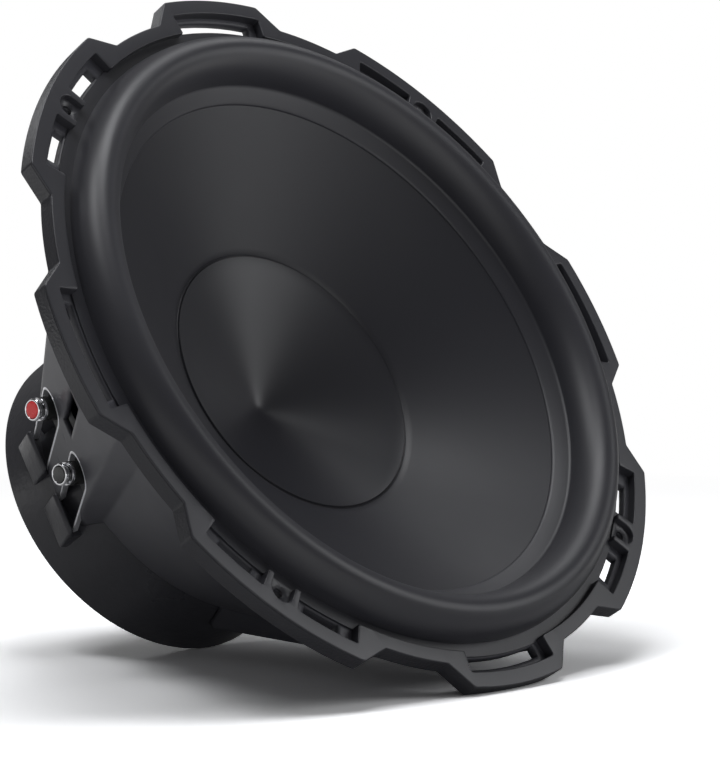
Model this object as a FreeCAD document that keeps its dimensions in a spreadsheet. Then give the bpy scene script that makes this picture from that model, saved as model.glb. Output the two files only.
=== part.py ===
"""Car subwoofer driver, 15 inch class, with two voice coils and push terminals.

The driver stands on the flat back of its motor boot, with +Z along the axis towards the
listener.  The terminals look along -X and +X.  Lengths are millimetres, angles degrees.
"""
import FreeCAD
import Part
import Sketcher
import math
import os

V = FreeCAD.Vector
Z_AXIS = V(0, 0, 1)
doc = FreeCAD.newDocument("subwoofer")

# ---------------------------------------------------------------- driving dimensions
TRIM = {
    "lobe_radius": 200.7, "valley_radius": 188.8, "rim_back": 180.5, "front_plane": 190.0,
    "odd_tip_angle": 9.84, "odd_foot_angle": 13.92, "even_tip_angle": 15.10,
    "even_foot_angle": 19.05, "lobe_root": 165.0, "skirt_wall": 2.2, "skirt_gap": 0.15,
    "lip_seat": 186.0, "lip_seat_radius": 190.5, "trim_bore": 181.2, "notch_radius": 192.4,
    "notch_start": 175.0, "odd_notch_angle": 9.6, "even_notch_angle": 5.4,
    "even_notch_mid": 8.5, "pocket_half": 6.4, "pocket_round": 187.2, "pocket_floor": 187.0,
    "bolt_circle_radius": 187.0, "bolt_hole_radius": 2.6, "corner_round": 3.0,
}
BASKET = {
    "flange_top": 184.8, "flange_bore": 172.5, "slot_inner": 183.4, "slot_outer": 189.4,
    "odd_slot_angle": 8.0, "even_slot_angle": 3.2, "even_slot_mid": 8.1,
    "wall_top_radius": 182.3, "wall_foot_radius": 96.0, "wall_thick": 3.7,
    "plate_bottom": 57.0, "plate_top": 60.0, "plate_bore": 40.0, "boot_seat_radius": 92.6,
    "spoke_foot": 36.0, "spoke_top_x": 182.4, "spoke_top_y": 42.0, "spoke_side_x": 166.0,
    "spoke_side_y": 66.0, "spoke_foot_x": 92.7, "spoke_foot_y": 25.0, "spoke_root_x": 68.0,
    "spoke_root_y": 30.0, "spoke_skin": 3.6, "shelf_inner": 93.0, "shelf_outer": 106.0,
    "shelf_bottom": 76.0, "shelf_top": 80.0, "window_pitch_half": 18.2,
    "window_height": 89.5, "window_radius": 9.6, "window_foot_half": 8.6, "window_low": 28.0,
    "vent_low": 103.5, "vent_high": 135.0, "vent_half": 5.2,
}
MOTOR = {
    "boot_radius": 92.0, "boot_wall": 3.0, "boot_top": 56.8, "boot_opening": 30.0,
    "boot_bevel": 4.0, "boot_rim_bevel": 1.6, "back_plate_top": 13.0, "steel_radius": 80.0,
    "pole_radius": 30.2,
    "pole_top": 60.0, "pole_vent": 14.0, "magnet_outer": 88.6, "magnet_inner": 46.0,
    "magnet_joint": 30.0, "magnet_top": 47.0, "gap_radius": 35.4, "sleeve_thick": 0.8,
    "sleeve_bottom": 40.0, "screen_thick": 1.0, "screen_hole": 1.3, "screen_pitch": 3.9,
    "fin_near": 6.5, "fin_far": 30.0, "fin_core": 90.0, "fin_core_x": 78.0, "fin_low": 20.0,
    "fin_foot_x": 92.0, "fin_foot": 21.5, "fin_ridge_x": 98.6, "fin_ridge": 38.8,
    "fin_lip_x": 97.4, "fin_lip": 41.2, "fin_throat_x": 93.3, "fin_throat": 35.8,
    "screw_circle": 66.0, "screw_shank": 2.5, "screw_head": 4.75, "screw_head_height": 3.4,
    "screw_length": 9.0, "screw_socket": 1.7, "screw_socket_floor": 1.2, "screw_count": 8,
    "screw_turn": 22.5,
}
MOVING = {
    "cone_rim_radius": 149.0, "cone_neck_radius": 33.2, "cone_slope": 0.617,
    "cone_front_height": 177.5, "cone_thick": 2.2, "cap_radius": 74.8,
    "cap_apex_height": 105.7, "cap_thick": 1.0, "former_inner": 31.9, "former_thick": 0.5,
    "former_bottom": 24.0, "former_top": 113.0, "coil_bottom": 38.0, "coil_top": 66.0,
    "coil_layer": 0.9, "lip_inner": 142.7, "roll_inner": 151.0, "roll_outer": 175.5,
    "roll_height": 18.7, "surround_thick": 1.2, "surround_rim": 182.6,
    "spider_outer": 102.0, "spider_wave": 2.6, "spider_thick": 0.8, "clamp_inner": 95.5,
    "clamp_height": 2.5, "spider_waves": 6.0,
    "collar_radius": 35.0, "collar_height": 4.0, "collar_lift": 6.0, "spider_lift": 3.0,
}
TERMINAL = {
    "block_low": 62.0, "block_high": 101.0, "block_thick": 3.0, "block_low_half": 24.0,
    "block_high_half": 29.0, "block_gap": 4.5, "holder_radius": 6.1, "holder_start": 113.0,
    "holder_reach": 132.6, "barrel_root": 112.0, "barrel_neck": 4.6, "barrel_radius": 5.9,
    "barrel_bore": 4.15, "barrel_floor": 126.9, "barrel_reach": 134.5, "guide_floor": 118.5,
    "button_neck": 3.0, "guide_gap": 0.06, "button_root": 121.0, "button_head": 5.9,
    "head_back": 136.7, "button_reach": 138.5, "insert_radius": 4.2, "insert_pocket": 4.6,
    "insert_back": 137.5, "insert_reach": 138.8, "wire_hole": 1.5, "wire_place": 130.0,
    "press": 2.0, "spring_radius": 3.6, "spring_wire": 0.3, "spring_turns": 5.0,
    "spring_clear": 0.36, "tab_reach": 100.0, "tab_half": 2.4, "tab_half_thick": 0.4,
    "fixing_radius": 1.5, "fixing_boss": 3.4, "fixing_head": 3.0, "fixing_head_height": 2.0,
    "fixing_low": 66.0, "fixing_high": 92.0, "fixing_cover": 1.0, "boss_clear": 0.05,
    "lead_radius": 1.0, "lead_start_x": 99.2, "lead_end_x": 34.5, "lead_end_y": 10.5,
    "lead_end_height": 88.0, "lead_crown": 9.0,
}
SIZES = {**TRIM, **BASKET, **MOTOR, **MOVING, **TERMINAL}

# ---------------------------------------------------------------- worked-out dimensions
WALL_SLOPE = ((SIZES["wall_top_radius"] - SIZES["wall_foot_radius"])
              / (SIZES["rim_back"] - SIZES["plate_bottom"]))
PANEL_SLOPE = ((SIZES["spoke_top_x"] - SIZES["spoke_foot_x"])
               / (SIZES["rim_back"] - SIZES["spoke_foot"]))


def cone_front(radius):
    """Height of the cone's front face at a radius."""
    return SIZES["cone_front_height"] + SIZES["cone_slope"] * (radius - SIZES["lip_inner"])


def panel_x(height):
    """Distance of a spoke's outer panel from the axis at a height."""
    return SIZES["spoke_foot_x"] + PANEL_SLOPE * (height - SIZES["spoke_foot"])


def block_face_x(height):
    """Distance of a terminal block's sloped front from the axis at a height."""
    return panel_x(height) - SIZES["spoke_skin"] - SIZES["block_gap"]


def along(radius_name, angle_name, inset=0.0):
    """X and Y of the point at a radius and an angle from the X axis."""
    radius = SIZES[radius_name] - inset
    angle = math.radians(SIZES[angle_name])
    return radius * math.cos(angle), radius * math.sin(angle)


for kind in ("odd", "even"):
    tip = along("lobe_radius", kind + "_tip_angle")
    foot = along("valley_radius", kind + "_foot_angle")
    SIZES[kind + "_tip_y"] = tip[1]
    SIZES[kind + "_foot_x"], SIZES[kind + "_foot_y"] = foot
    SIZES[kind + "_flange_tip_y"] = tip[1] - SIZES["skirt_wall"]
    SIZES[kind + "_flange_foot_x"] = foot[0] - SIZES["skirt_wall"]
    SIZES[kind + "_flange_foot_y"] = foot[1] - SIZES["skirt_wall"]
    SIZES[kind + "_seat_tip_y"] = tip[1] - SIZES["skirt_wall"] + SIZES["skirt_gap"]
    SIZES[kind + "_seat_foot_x"] = foot[0] - SIZES["skirt_wall"] + SIZES["skirt_gap"]
    SIZES[kind + "_seat_foot_y"] = foot[1] - SIZES["skirt_wall"] + SIZES["skirt_gap"]
    for part in ("notch", "slot"):
        outer = "notch_radius" if part == "notch" else "slot_outer"
        inner = "notch_start" if part == "notch" else "slot_inner"
        SIZES[f"{kind}_{part}_far"] = along(outer, f"{kind}_{part}_angle")[1]
        SIZES[f"{kind}_{part}_near"] = along(inner, f"{kind}_{part}_angle")[1]
SIZES["flange_lobe_radius"] = SIZES["lobe_radius"] - SIZES["skirt_wall"]
SIZES["flange_valley_radius"] = SIZES["valley_radius"] - SIZES["skirt_wall"]
SIZES["seat_lobe_radius"] = SIZES["flange_lobe_radius"] + SIZES["skirt_gap"]
SIZES["seat_valley_radius"] = SIZES["flange_valley_radius"] + SIZES["skirt_gap"]
SIZES["wall_top_inner"] = SIZES["wall_top_radius"] - SIZES["wall_thick"]
SIZES["wall_plate_radius"] = (SIZES["wall_foot_radius"] - SIZES["wall_thick"]
                              + WALL_SLOPE * (SIZES["plate_top"] - SIZES["plate_bottom"]))
for name in ("top", "side", "foot", "root"):
    for side in ("x", "y"):
        SIZES[f"hollow_{name}_{side}"] = SIZES[f"spoke_{name}_{side}"] - SIZES["spoke_skin"]
SIZES["magnet_shell_inner"] = SIZES["boot_radius"] - SIZES["boot_wall"]
SIZES["boot_bevel_radius"] = SIZES["boot_radius"] - SIZES["boot_bevel"]
SIZES["boot_rim_round"] = SIZES["boot_radius"] - SIZES["boot_rim_bevel"]
SIZES["boot_rim_start"] = SIZES["boot_top"] - SIZES["boot_rim_bevel"]
SIZES["sleeve_radius"] = SIZES["pole_radius"] + SIZES["sleeve_thick"]
SIZES["cone_rim_height"] = cone_front(SIZES["cone_rim_radius"])
SIZES["cone_rim_back"] = SIZES["cone_rim_height"] - SIZES["cone_thick"]
SIZES["cone_neck_height"] = cone_front(SIZES["cone_neck_radius"])
SIZES["cone_neck_back"] = SIZES["cone_neck_height"] - SIZES["cone_thick"]
SIZES["cap_edge_height"] = cone_front(SIZES["cap_radius"])
SIZES["cap_edge_front"] = SIZES["cap_edge_height"] + SIZES["cap_thick"]
SIZES["cap_apex_back"] = SIZES["cap_apex_height"] - SIZES["cap_thick"]
SIZES["former_outer"] = SIZES["former_inner"] + SIZES["former_thick"]
SIZES["coil_middle"] = SIZES["former_outer"] + SIZES["coil_layer"]
SIZES["coil_outer"] = SIZES["former_outer"] + 2 * SIZES["coil_layer"]
SIZES["collar_bottom"] = SIZES["shelf_top"] + SIZES["collar_lift"]
SIZES["collar_top"] = SIZES["collar_bottom"] + SIZES["collar_height"]
SIZES["clamp_bottom"] = SIZES["shelf_top"] + SIZES["spider_thick"]
SIZES["clamp_top"] = SIZES["clamp_bottom"] + SIZES["clamp_height"]
for end in ("low", "high"):
    SIZES[f"block_{end}_front"] = block_face_x(SIZES[f"block_{end}"])
    SIZES[f"block_{end}_back"] = SIZES[f"block_{end}_front"] - SIZES["block_thick"]
SIZES["trim_height"] = SIZES["front_plane"] - SIZES["rim_back"]
SIZES["notch_depth"] = SIZES["front_plane"] - SIZES["flange_top"]
SIZES["lip_depth"] = SIZES["lip_seat"] - SIZES["flange_top"]
SIZES["pocket_depth"] = SIZES["front_plane"] - SIZES["pocket_floor"]
SIZES["flange_height"] = SIZES["flange_top"] - SIZES["rim_back"]
SIZES["wall_inner_foot"] = SIZES["wall_foot_radius"] - SIZES["wall_thick"]
for name, side in (("near", -1), ("far", 1)):
    middle = side * SIZES["window_pitch_half"]
    SIZES[f"window_{name}_middle"] = middle
    SIZES[f"window_{name}_head_a"] = middle - SIZES["window_radius"]
    SIZES[f"window_{name}_head_b"] = middle + SIZES["window_radius"]
    SIZES[f"window_{name}_foot_a"] = middle - SIZES["window_foot_half"]
    SIZES[f"window_{name}_foot_b"] = middle + SIZES["window_foot_half"]
SIZES["fin_width"] = SIZES["fin_far"] - SIZES["fin_near"]
SIZES["block_span"] = 2 * SIZES["block_high_half"]

sheet = doc.addObject("Spreadsheet::Sheet", "Sizes")
for row, (alias, value) in enumerate(SIZES.items(), start=1):
    sheet.set(f"A{row}", alias)
    sheet.set(f"B{row}", f"{value:.5f}")
    sheet.setAlias(f"B{row}", alias)
doc.recompute()


def size(alias):
    """Number in a sheet cell; a leading minus turns its sign."""
    sign = -1.0 if alias.startswith("-") else 1.0
    return sign * float(sheet.get(alias.lstrip("-")))


def bind(item, property_name, alias):
    """Bind a property to a sheet cell; a leading minus turns its sign."""
    sign = "-" if alias.startswith("-") else ""
    item.setExpression(property_name, sign + "Sizes." + alias.lstrip("-"))


# ---------------------------------------------------------------- sketches
def new_body(name):
    """Empty body whose label is the piece's name."""
    body = doc.addObject("PartDesign::Body", name)
    body.Label = name
    return body


def new_sketch(body, plane="XY_Plane", height=None, turn=0.0):
    """Sketch on one of the body's own origin planes, at a height and a turn about it."""
    sketch = body.newObject("Sketcher::SketchObject", body.Name + "_sketch")
    origin_plane = next(f for f in body.Origin.OriginFeatures if f.Role == plane)
    sketch.AttachmentSupport = [(origin_plane, "")]
    sketch.MapMode = "FlatFace"
    sketch.AttachmentOffset = FreeCAD.Placement(V(0, 0, 0), FreeCAD.Rotation(Z_AXIS, turn))
    if height:
        bind(sketch, "AttachmentOffset.Base.z", height)
    return sketch


def hold(sketch, kind, geometry, point, alias):
    """Hold one vertex at a sheet distance from the sketch's origin, or on an axis for 0."""
    if alias == "0":
        axis = -2 if kind == "DistanceX" else -1
        sketch.addConstraint(Sketcher.Constraint("PointOnObject", geometry, point, axis))
        return
    constraint = Sketcher.Constraint(kind, -1, 1, geometry, point, size(alias))
    bind(sketch, f"Constraints[{sketch.addConstraint(constraint)}]", alias)


def polygon(sketch, points):
    """Closed straight-sided outline whose corners are held by sheet values."""
    corners = [V(0 if x == "0" else size(x), 0 if y == "0" else size(y), 0) for x, y in points]
    count = len(corners)
    first = sketch.GeometryCount
    for index in range(count):
        sketch.addGeometry(Part.LineSegment(corners[index], corners[(index + 1) % count]), False)
    for index in range(count):
        following = first + (index + 1) % count
        sketch.addConstraint(Sketcher.Constraint("Coincident", first + index, 2, following, 1))
    for index, (x, y) in enumerate(points):
        hold(sketch, "DistanceX", first + index, 1, x)
        hold(sketch, "DistanceY", first + index, 1, y)


def arc_between(sketch, radius, low_y, high_y):
    """Arc about the origin between two heights on its +X side; returns its number."""
    start = math.asin(size(low_y) / size(radius))
    end = math.asin(size(high_y) / size(radius))
    circle = Part.Circle(V(0, 0, 0), Z_AXIS, size(radius))
    arc = sketch.addGeometry(Part.ArcOfCircle(circle, start, end), False)
    sketch.addConstraint(Sketcher.Constraint("Coincident", arc, 3, -1, 1))
    number = sketch.addConstraint(Sketcher.Constraint("Radius", arc, size(radius)))
    bind(sketch, f"Constraints[{number}]", radius)
    hold(sketch, "DistanceY", arc, 1, low_y)
    hold(sketch, "DistanceY", arc, 2, high_y)
    return arc


def join(sketch, first, first_point, second, second_point):
    """Straight edge between two arc ends."""
    ends = [sketch.getPoint(first, first_point), sketch.getPoint(second, second_point)]
    line = sketch.addGeometry(Part.LineSegment(*ends), False)
    sketch.addConstraint(Sketcher.Constraint("Coincident", line, 1, first, first_point))
    sketch.addConstraint(Sketcher.Constraint("Coincident", line, 2, second, second_point))


def lobe_outline(sketch, tip_radius, tip_y, foot_x, foot_y):
    """Outline of one lobe along +X: arc tip, slanted flanks and a foot inside the disc."""
    arc = arc_between(sketch, tip_radius, "-" + tip_y, tip_y)
    feet = [(foot_x, foot_y), ("lobe_root", foot_y), ("lobe_root", "-" + foot_y),
            (foot_x, "-" + foot_y)]
    corners = [V(size(x), size(y), 0) for x, y in feet]
    route = [sketch.getPoint(arc, 2)] + corners + [sketch.getPoint(arc, 1)]
    lines = [sketch.addGeometry(Part.LineSegment(a, b), False)
             for a, b in zip(route[:-1], route[1:])]
    sketch.addConstraint(Sketcher.Constraint("Coincident", lines[0], 1, arc, 2))
    sketch.addConstraint(Sketcher.Constraint("Coincident", lines[-1], 2, arc, 1))
    for line, (x, y) in zip(lines, feet):
        sketch.addConstraint(Sketcher.Constraint("Coincident", line, 2, line + 1, 1))
        hold(sketch, "DistanceX", line, 2, x)
        hold(sketch, "DistanceY", line, 2, y)


def sector_outline(sketch, inner, outer, near_y, far_y):
    """Curved slot along +X between two radii, with straight ends."""
    low = arc_between(sketch, inner, "-" + near_y, near_y)
    high = arc_between(sketch, outer, "-" + far_y, far_y)
    join(sketch, low, 1, high, 1)
    join(sketch, low, 2, high, 2)


# ---------------------------------------------------------------- features
def circle_sketch(body, radii, height):
    """Sketch of circles about the axis."""
    sketch = new_sketch(body, height=height)
    for radius in radii:
        ring = sketch.addGeometry(Part.Circle(V(0, 0, 0), Z_AXIS, size(radius)), False)
        sketch.addConstraint(Sketcher.Constraint("Coincident", ring, 3, -1, 1))
        number = sketch.addConstraint(Sketcher.Constraint("Radius", ring, size(radius)))
        bind(sketch, f"Constraints[{number}]", radius)
    return sketch


def pad(body, sketch, length, both_ways=False):
    """Pad of a sketch by a sheet length, or by it each way from the sketch."""
    feature = body.newObject("PartDesign::Pad", body.Name + "_pad")
    feature.Profile = sketch
    feature.Midplane = both_ways
    bind(feature, "Length", length)
    return feature


def pocket(body, sketch, length):
    """Pocket from a sketch upwards by a sheet length, checked to have cut something."""
    doc.recompute()
    before = body.Shape.Volume
    feature = body.newObject("PartDesign::Pocket", body.Name + "_pocket")
    feature.Profile = sketch
    feature.Reversed = True
    bind(feature, "Length", length)
    doc.recompute()
    if body.Shape.Volume > before - 1.0:
        raise RuntimeError(f"{feature.Name} cuts nothing")
    return feature


def four_times(body, feature, sketch):
    """Polar pattern of a feature, four times about the axis."""
    pattern = body.newObject("PartDesign::PolarPattern", body.Name + "_pattern")
    pattern.Originals = [feature]
    pattern.Axis = (sketch, ["N_Axis"])
    pattern.Angle = 360
    pattern.Occurrences = 4
    body.Tip = pattern
    doc.recompute()
    return pattern


def turned(name, points):
    """Body of revolution about Z from an outline of (radius, height) sheet names."""
    body = new_body(name)
    sketch = new_sketch(body, "XZ_Plane")
    polygon(sketch, points)
    revolution = body.newObject("PartDesign::Revolution", name + "_turn")
    revolution.Profile = sketch
    revolution.ReferenceAxis = (sketch, ["V_Axis"])
    revolution.Angle = 360
    doc.recompute()
    return body


def ring(name, inner, outer, bottom, top):
    """Plain ring about the axis between two radii and two heights."""
    return turned(name, [(inner, bottom), (outer, bottom), (outer, top), (inner, top)])


def prism(name, plane, points, length, both_ways=True, turn=0.0):
    """Straight-sided block padded from an outline on an origin plane."""
    body = new_body(name)
    sketch = new_sketch(body, plane)
    polygon(sketch, points)
    pad(body, sketch, length, both_ways)
    body.Placement = FreeCAD.Placement(V(0, 0, 0), FreeCAD.Rotation(Z_AXIS, turn))
    doc.recompute()
    return body


def combine(kind, name, parts):
    """Part boolean of several objects: MultiFuse, MultiCommon, or Cut of two."""
    result = doc.addObject("Part::" + kind, name)
    if kind == "Cut":
        result.Base, result.Tool = parts
    else:
        result.Shapes = parts
    result.Label = name
    doc.recompute()
    return result


def free_shape(name, shape):
    """Feature that holds a shape made with Part's own functions."""
    feature = doc.addObject("Part::Feature", name)
    feature.Label = name
    feature.Shape = shape
    return feature


def lobed_disc(name, prefix, bottom, thickness):
    """Disc with eight lobes, four of each kind, in one of its three outline sizes."""
    names = {"trim": ("", ""), "flange": ("flange_", "flange_"), "seat": ("seat_", "seat_")}
    mark, edge = names[prefix]
    body = new_body(name)
    pad(body, circle_sketch(body, [edge + "valley_radius"], bottom), thickness)
    doc.recompute()
    for kind, turn in (("odd", 0.0), ("even", 45.0)):
        sketch = new_sketch(body, height=bottom, turn=turn)
        lobe_outline(sketch, edge + "lobe_radius", f"{kind}_{mark}tip_y",
                     f"{kind}_{mark}foot_x", f"{kind}_{mark}foot_y")
        four_times(body, pad(body, sketch, thickness), sketch)
    return body


def cut_sectors(body, part, kinds, bottom, depth):
    """Cut the curved notches or slots of the lobes, one or two to a lobe."""
    outer = "notch_radius" if part == "notch" else "slot_outer"
    inner = "notch_start" if part == "notch" else "slot_inner"
    for kind, turn in kinds:
        sketch = new_sketch(body, height=bottom, turn=turn)
        sector_outline(sketch, inner, outer, f"{kind}_{part}_near", f"{kind}_{part}_far")
        four_times(body, pocket(body, sketch, depth), sketch)


def sector_turns(middle):
    """The angles at which the odd sector and the two even sectors stand."""
    shift = SIZES[middle]
    return [("odd", 0.0), ("even", 45.0 - shift), ("even", 45.0 + shift)]


def upright_edges(shape, radii):
    """Names of the straight upright edges that stand at some radii."""
    names = []
    for number, edge in enumerate(shape.Edges, start=1):
        ends = [vertex.Point for vertex in edge.Vertexes]
        if len(ends) != 2 or ends[0].sub(ends[1]).cross(Z_AXIS).Length > 1e-4:
            continue
        radius = math.hypot(ends[0].x, ends[0].y)
        if any(abs(radius - wanted) < 0.2 for wanted in radii):
            names.append(f"Edge{number}")
    return names


def round_edges(body, names, radius):
    """Fillet of named edges of the body's tip."""
    rounded = body.Tip
    fillet = body.newObject("PartDesign::Fillet", body.Name + "_fillet")
    fillet.Base = (rounded, names)
    bind(fillet, "Radius", radius)
    doc.recompute()
    return fillet


def on_side(side, shape):
    """A shape modelled for the +X side, turned to its own side of the axis."""
    return shape if side == "right" else shape.rotated(V(0, 0, 0), Z_AXIS, 180)


def panel_normal():
    """Outward normal of the +X spoke's flat panel."""
    normal = V(1, 0, -PANEL_SLOPE)
    normal.normalize()
    return normal


def fixing_shank(side, level, extra=0.0):
    """Shank of a terminal block's fixing, square to the panel on the spoke's middle line."""
    normal = panel_normal()
    surface = V(panel_x(SIZES[level]), 0, SIZES[level])
    layers = SIZES["spoke_skin"] + SIZES["block_gap"] + SIZES["block_thick"]
    depth = layers * normal.x
    start = surface - normal * (depth + extra)
    length = depth + extra - size("fixing_cover")
    return on_side(side, Part.makeCylinder(size("fixing_radius"), length, start, normal))


def fixing_boss(side, level):
    """Boss that holds a terminal block off the inside of its panel, round a fixing."""
    normal = panel_normal()
    surface = V(panel_x(SIZES[level]), 0, SIZES[level])
    far = (SIZES["spoke_skin"] + SIZES["block_gap"] + 1.0) * normal.x
    near = SIZES["spoke_skin"] * normal.x + size("boss_clear")
    boss = Part.makeCylinder(size("fixing_boss"), far - near, surface - normal * far, normal)
    return on_side(side, boss)


# ---------------------------------------------------------------- trim ring and basket
def hole_sketch(body, radius, distance, height, turn=0.0):
    """Sketch of one circle at a distance along +X."""
    sketch = new_sketch(body, height=height, turn=turn)
    hole = sketch.addGeometry(Part.Circle(V(size(distance), 0, 0), Z_AXIS, size(radius)), False)
    number = sketch.addConstraint(Sketcher.Constraint("Radius", hole, size(radius)))
    bind(sketch, f"Constraints[{number}]", radius)
    hold(sketch, "DistanceX", hole, 3, distance)
    hold(sketch, "DistanceY", hole, 3, "0")
    return sketch


def drill_mounting_holes(body, depth):
    """Four mounting holes from the rim's back, one in each even lobe."""
    sketch = hole_sketch(body, "bolt_hole_radius", "bolt_circle_radius", "rim_back", 45.0)
    four_times(body, pocket(body, sketch, depth), sketch)


def make_trim_ring():
    """Lobed trim ring: face plate with open notches and screw pockets, and a side skirt."""
    body = lobed_disc("trim_disc", "trim", "rim_back", "trim_height")
    corners = upright_edges(body.Shape, [size("lobe_radius"), size("valley_radius")])
    round_edges(body, corners, "corner_round")
    pocket(body, circle_sketch(body, ["trim_bore"], "rim_back"), "trim_height")
    cut_sectors(body, "notch", sector_turns("even_notch_mid"), "flange_top", "notch_depth")
    sketch = new_sketch(body, height="pocket_floor", turn=45.0)
    polygon(sketch, [("notch_start", "-pocket_half"), ("pocket_round", "-pocket_half"),
                     ("pocket_round", "pocket_half"), ("notch_start", "pocket_half")])
    four_times(body, pocket(body, sketch, "pocket_depth"), sketch)
    sketch = hole_sketch(body, "pocket_half", "pocket_round", "pocket_floor", 45.0)
    four_times(body, pocket(body, sketch, "pocket_depth"), sketch)
    pocket(body, circle_sketch(body, ["lip_seat_radius"], "flange_top"), "lip_depth")
    drill_mounting_holes(body, "trim_height")
    seat = lobed_disc("flange_seat", "seat", "rim_back", "flange_height")
    return combine("Cut", "trim_ring", [body, seat])


def make_spoke(name, mark, turn):
    """Loft of one spoke, or of the hollow inside it, from the flange to its foot."""
    body = new_body(name)
    sketches = []
    for height, outer, root in (("rim_back", "top", "side"), ("spoke_foot", "foot", "root")):
        sketch = new_sketch(body, height=height)
        polygon(sketch, [(f"{mark}_{outer}_x", f"-{mark}_{outer}_y"),
                         (f"{mark}_{outer}_x", f"{mark}_{outer}_y"),
                         (f"{mark}_{root}_x", f"{mark}_{root}_y"),
                         (f"{mark}_{root}_x", f"-{mark}_{root}_y")])
        sketches.append(sketch)
    loft = body.newObject("PartDesign::AdditiveLoft", name + "_loft")
    loft.Profile = sketches[0]
    loft.Sections = [sketches[1]]
    loft.Ruled = True
    body.Placement = FreeCAD.Placement(V(0, 0, 0), FreeCAD.Rotation(Z_AXIS, turn))
    doc.recompute()
    return body


def window_tools(name, turn):
    """Tools for the two terminal windows and the vent of the spoke on one side."""
    tools = []
    for mark in ("near", "far"):
        tools.append(prism(f"{name}_{mark}_legs", "YZ_Plane",
                           [(f"window_{mark}_foot_a", "window_low"),
                            (f"window_{mark}_foot_b", "window_low"),
                            (f"window_{mark}_head_b", "window_height"),
                            (f"window_{mark}_head_a", "window_height")],
                           "lobe_radius", False, turn))
        head = doc.addObject("Part::Cylinder", f"{name}_{mark}_head")
        bind(head, "Radius", "window_radius")
        bind(head, "Height", "lobe_radius")
        axis = FreeCAD.Rotation(Z_AXIS, turn).multiply(FreeCAD.Rotation(V(0, 1, 0), 90))
        middle = V(0, size(f"window_{mark}_middle"), size("window_height"))
        head.Placement = FreeCAD.Placement(
            FreeCAD.Rotation(Z_AXIS, turn).multVec(middle), axis)
        tools.append(head)
    tools.append(prism(name + "_vent", "YZ_Plane",
                       [("-vent_half", "vent_low"), ("vent_half", "vent_low"),
                        ("vent_half", "vent_high"), ("-vent_half", "vent_high")],
                       "lobe_radius", False, turn))
    return tools


def make_basket():
    """Stamped basket: lobed flange, conical wall, four flat spokes, plate and shelf."""
    skin = [turned("wall_cone", [("0", "plate_bottom"), ("wall_foot_radius", "plate_bottom"),
                                 ("wall_top_radius", "rim_back"), ("0", "rim_back")])]
    hollow = [turned("wall_hollow", [("0", "plate_bottom"), ("wall_inner_foot", "plate_bottom"),
                                     ("wall_top_inner", "rim_back"), ("0", "rim_back")])]
    for number in range(4):
        skin.append(make_spoke(f"spoke_{number}", "spoke", 90.0 * number))
        hollow.append(make_spoke(f"spoke_hollow_{number}", "hollow", 90.0 * number))
    hollow.append(ring("boot_seat", "plate_bore", "boot_seat_radius", "back_plate_top",
                       "plate_bottom"))
    hollow.append(turned("boot_core", [("0", "back_plate_top"), ("plate_bore", "back_plate_top"),
                                       ("plate_bore", "plate_bottom"), ("0", "plate_bottom")]))
    shell = combine("Cut", "basket_blind_shell", [combine("MultiFuse", "basket_skin", skin),
                                                  combine("MultiFuse", "basket_hollow", hollow)])
    for side, turn in (("left", 180.0), ("right", 0.0)):
        openings = combine("MultiFuse", side + "_openings", window_tools(side + "_window", turn))
        shell = combine("Cut", f"{side}_open_shell", [shell, openings])
    flange = lobed_disc("flange_disc", "flange", "rim_back", "flange_height")
    pocket(flange, circle_sketch(flange, ["flange_bore"], "rim_back"), "flange_height")
    cut_sectors(flange, "slot", sector_turns("even_slot_mid"), "rim_back", "flange_height")
    drill_mounting_holes(flange, "flange_height")
    plate = turned("basket_plate", [("plate_bore", "plate_bottom"),
                                    ("boot_seat_radius", "plate_bottom"),
                                    ("wall_plate_radius", "plate_top"),
                                    ("plate_bore", "plate_top")])
    shelf = ring("spider_shelf", "shelf_inner", "shelf_outer", "shelf_bottom", "shelf_top")
    whole = combine("MultiFuse", "basket_blank", [shell, flange, plate, shelf])
    shanks = [fixing_shank(side, level) for side in ("left", "right")
              for level in ("fixing_low", "fixing_high")]
    fixing_holes = free_shape("fixing_holes", Part.makeCompound(shanks))
    holes = combine("MultiFuse", "basket_screw_holes",
                    screw_cylinders("basket_hole") + [fixing_holes])
    return combine("Cut", "basket", [whole, holes])


# ---------------------------------------------------------------- motor
def screw_places(height):
    """Points on the motor screws' circle at a height."""
    count = int(size("screw_count"))
    first = V(size("screw_circle"), 0, height)
    return [FreeCAD.Rotation(Z_AXIS, size("screw_turn") + 360.0 * number / count).multVec(first)
            for number in range(count)]


def screw_cylinders(name):
    """Eight cylinders where the motor screws' shanks stand."""
    shanks = []
    for number, place in enumerate(screw_places(size("plate_top") - size("screw_length"))):
        shank = doc.addObject("Part::Cylinder", f"{name}_{number}")
        bind(shank, "Radius", "screw_shank")
        bind(shank, "Height", "screw_length")
        shank.Placement.Base = place
        shanks.append(shank)
    doc.recompute()
    return shanks


def make_motor_screws():
    """Eight pan-head screws that hold the basket to the top plate."""
    solids = []
    for place in screw_places(size("plate_top")):
        shank = Part.makeCylinder(size("screw_shank"), size("screw_length"),
                                  place - Z_AXIS * size("screw_length"))
        head = Part.makeCylinder(size("screw_head"), size("screw_head_height"), place)
        socket = Part.makeCylinder(size("screw_socket"), size("screw_head_height"),
                                   place + Z_AXIS * size("screw_socket_floor"))
        solids.append(shank.fuse(head).removeSplitter().cut(socket))
    return free_shape("motor_screws", Part.makeCompound(solids))


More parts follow.
